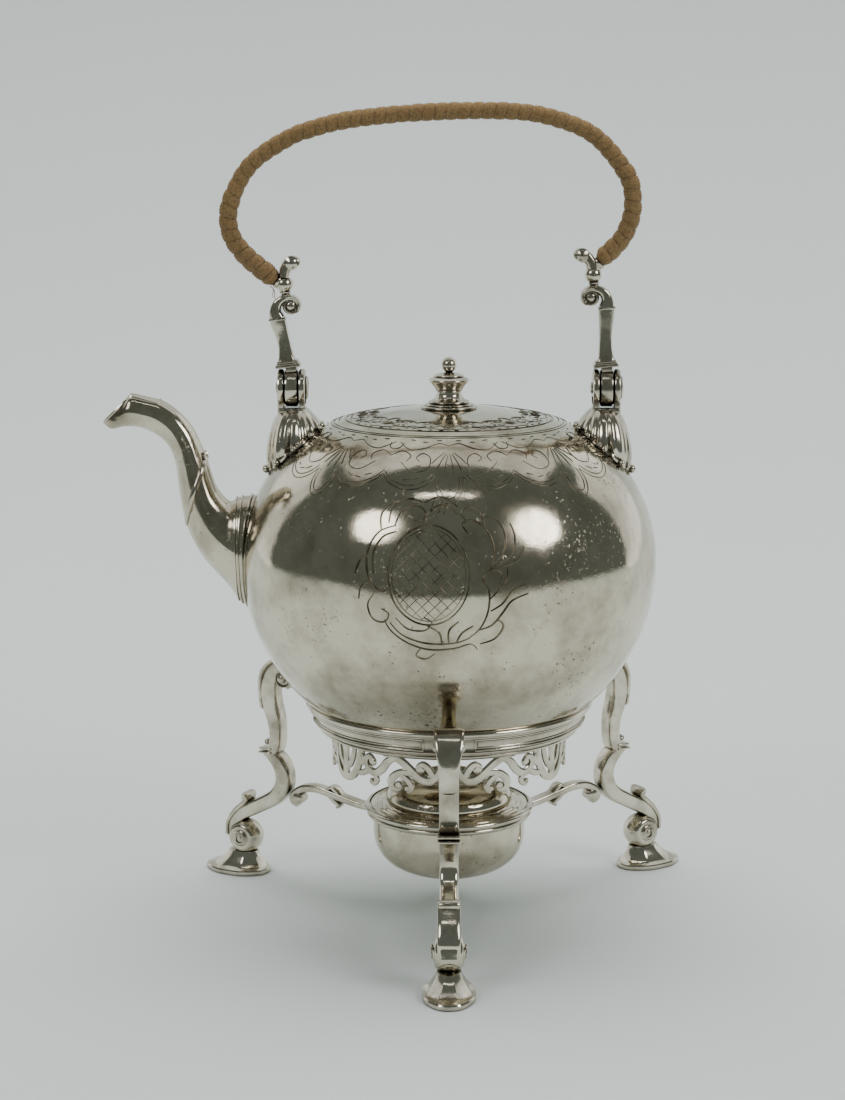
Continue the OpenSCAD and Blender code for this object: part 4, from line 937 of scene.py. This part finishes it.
    # Lamp bracket: a thin S-scroll with sprouting leaves from the leg to the lamp's ring
    arm = bmesh.new()
    bar(arm, [(37.9, 40.6, 1.6), (46.9, 41.4, 1.7), (58.7, 43.8, 1.8), (68.6, 45.8, 1.9), (76.0, 44.9, 1.9),
              (80.8, 41.6, 1.8),
              (81.2, 38.4, 1.6), (78.6, 37.2, 1.5)], 5.6, out, 5, 0.45)
    turned(arm, [(0, -3.4), (1.5, -3.3), (2.6, -2.8), (2.9, 0), (2.6, 2.8), (1.5, 3.3), (0, 3.4)],
        out @ Matrix.Translation((78.4, 0, 40.0)) @ flat, 28)
    bar(arm, [(56, 44.0, 1.1), (58.4, 46.4, 1.3), (60.6, 47.6, 1.0), (62.2, 46.8, 0.7)], 5.2, out, 4, 0.5)
    bar(arm, [(61.5, 43.4, 1.1), (58.6, 41.2, 1.3), (56.4, 39.6, 1.0), (57.6, 38.4, 0.7)], 5.2, out, 4, 0.5)
    turned(arm, arc((0, 0), 1.3, -90, 90, 8), out @ Matrix.Translation((61.2, 0, 47.0)), 16)
    turned(arm, arc((0, 0), 1.2, -90, 90, 8), out @ Matrix.Translation((57.4, 0, 39.2)), 16)
    made(arm, "bracket_scroll_" + name, cast_silver, "stand", ["lamp_bracket_" + name],
        corner=44)

# ---------------------------------------------------------------- lamp
# The spirit lamp is a deep raised bowl that hangs by its flange in a moulded ring. A domed cover with
# turned ridges drops into it and carries the wick tube in its open neck.

FLANGE_Z = 47.22
holder = bmesh.new()
turned(holder, [(34.6, 44.6), (35.6, 43.6), (36.6, 44.0)] + arc((36.5, 45.2), 0.8, -60, 60,
       6) + arc((36.7, 47.6), 1.35, -50, 110, 10)
       + [(36.0, 49.2), (36.0, 47.2), (34.6, 47.2)], turns=160, closed=True)
made(holder, "lamp_hoop", ring_silver, "stand", ["lamp_ring"], corner=40)

bowl = bmesh.new()
side = [((34.3) * math.sin(math.radians(a)) ** 0.72,
    16.5 + 21.8 * (1 - max(math.cos(math.radians(a)), 0) ** 0.8)) for a in range(0, 91, 3)]
inside = [(max(r - 1, 0), z + 1 * (1 - i / 34)) for i, (r, z) in enumerate(side)]
turned(bowl, side + [(34.3, 44), (34.3, FLANGE_Z), (35.6, FLANGE_Z + 0.05), (35.7, FLANGE_Z + 0.8),
    (33.3, FLANGE_Z + 0.8), (33.3, 44)] + inside[::-1], turns=160)
made(bowl, "lamp_bowl_shell", raised_silver, "lamp", ["lamp_bowl"], corner=40)

cover = bmesh.new()
z = FLANGE_Z + 0.84
outer = [(33.1, z - 5), (33.1, z - 0.1), (35.4, z)] + arc((34.9, z + 0.5), 0.5, -60, 150, 6) + [
    (33.6, z + 0.9), (33.2, z + 0.5), (32.6, z + 0.5), (32.2, z + 1.0), (31.6, z + 1.05), (31.2, z + 0.6),
    (30.6, z + 0.6), (30.2, z + 1.1),
    (29.6, z + 1.1), (29.0, z + 0.7),
    (28.4, z + 0.9)] + [tuple(p) for p in spline([(27.95, z + 1.6), (28.1, z + 4.2), (26.7, z + 7.1),
    (23.6, z + 9.3), (19.8, z + 10.7), (17.0, z + 11.3), (15.8, z + 11.9)], 5)] + [(15.7, z + 12.2),
    (16.0, z + 12.5)] + arc(
    (15.7, z + 12.9), 0.4, -30, 150, 6) + [(14.5, z + 13.2), (14.35, z + 10.6)] + [
    (16.0, z + 10.3), (19.2, z + 9.8), (22.8, z + 8.4), (25.7, z + 6.3), (27.1, z + 3.9), (27.1, z - 0.1),
    (28.2, z - 0.5), (32.2, z - 0.6), (32.2, z - 5)]
turned(cover, outer, turns=160, closed=True)
made(cover, "lamp_cover_dome", raised_silver, "burner", ["lamp_cover"], corner=40)

# Charred twist of cotton in a plain soldered tube
tube = bmesh.new()
z = FLANGE_Z + 11.6
turned(tube, [(3.6, z - 12), (4.5, z - 12), (4.5, z - 0.1), (14.2, z - 0.1), (14.2, z + 1), (5.0, z + 1.2),
    (4.5, z + 4), (3.6, z + 4)], turns=72, closed=True)
made(tube, "wick_tube_plate", ring_silver, "burner", ["wick_holder"], corner=40)
cotton, tree, shader = blank("twisted cotton, charred at its tip")
where = add(tree, "ShaderNodeTexCoord").outputs["Object"]
height = add(tree, "ShaderNodeSeparateXYZ", {"Vector": where}).outputs["Z"]
shade = blend(tree, noise(tree, where, 1400, 4), tint("#d8cfb8"), tint("#b3a78c"))
shade = blend(tree, spread(tree, height, 0.062, 0.064), shade, tint("#2a2521"))
tree.links.new(shade, shader.inputs["Base Color"])
shader.inputs["Roughness"].default_value = 0.9
wick = bmesh.new()
rings = []
for i in range(46):
    h = z - 26 + 31.6 * i / 45
    fatness = 3.5 if i < 43 else (3.2, 2.6, 1.6)[i - 43]
    rings.append([Vector((fatness * (0.86 + 0.13 * abs(math.cos(2 * a + h * 0.9))) * math.cos(a),
                          fatness * (0.86 + 0.13 * abs(math.cos(2 * a + h * 0.9))) * math.sin(a), h))
                  for a in (k * math.tau / 32 for k in range(32))])
loft(wick, rings)
made(wick, "wick_twist", cotton, "wick", ["wick"], corner=80)
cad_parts["handle_core"].data.materials.clear()
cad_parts["handle_core"].data.materials.append(ring_silver)
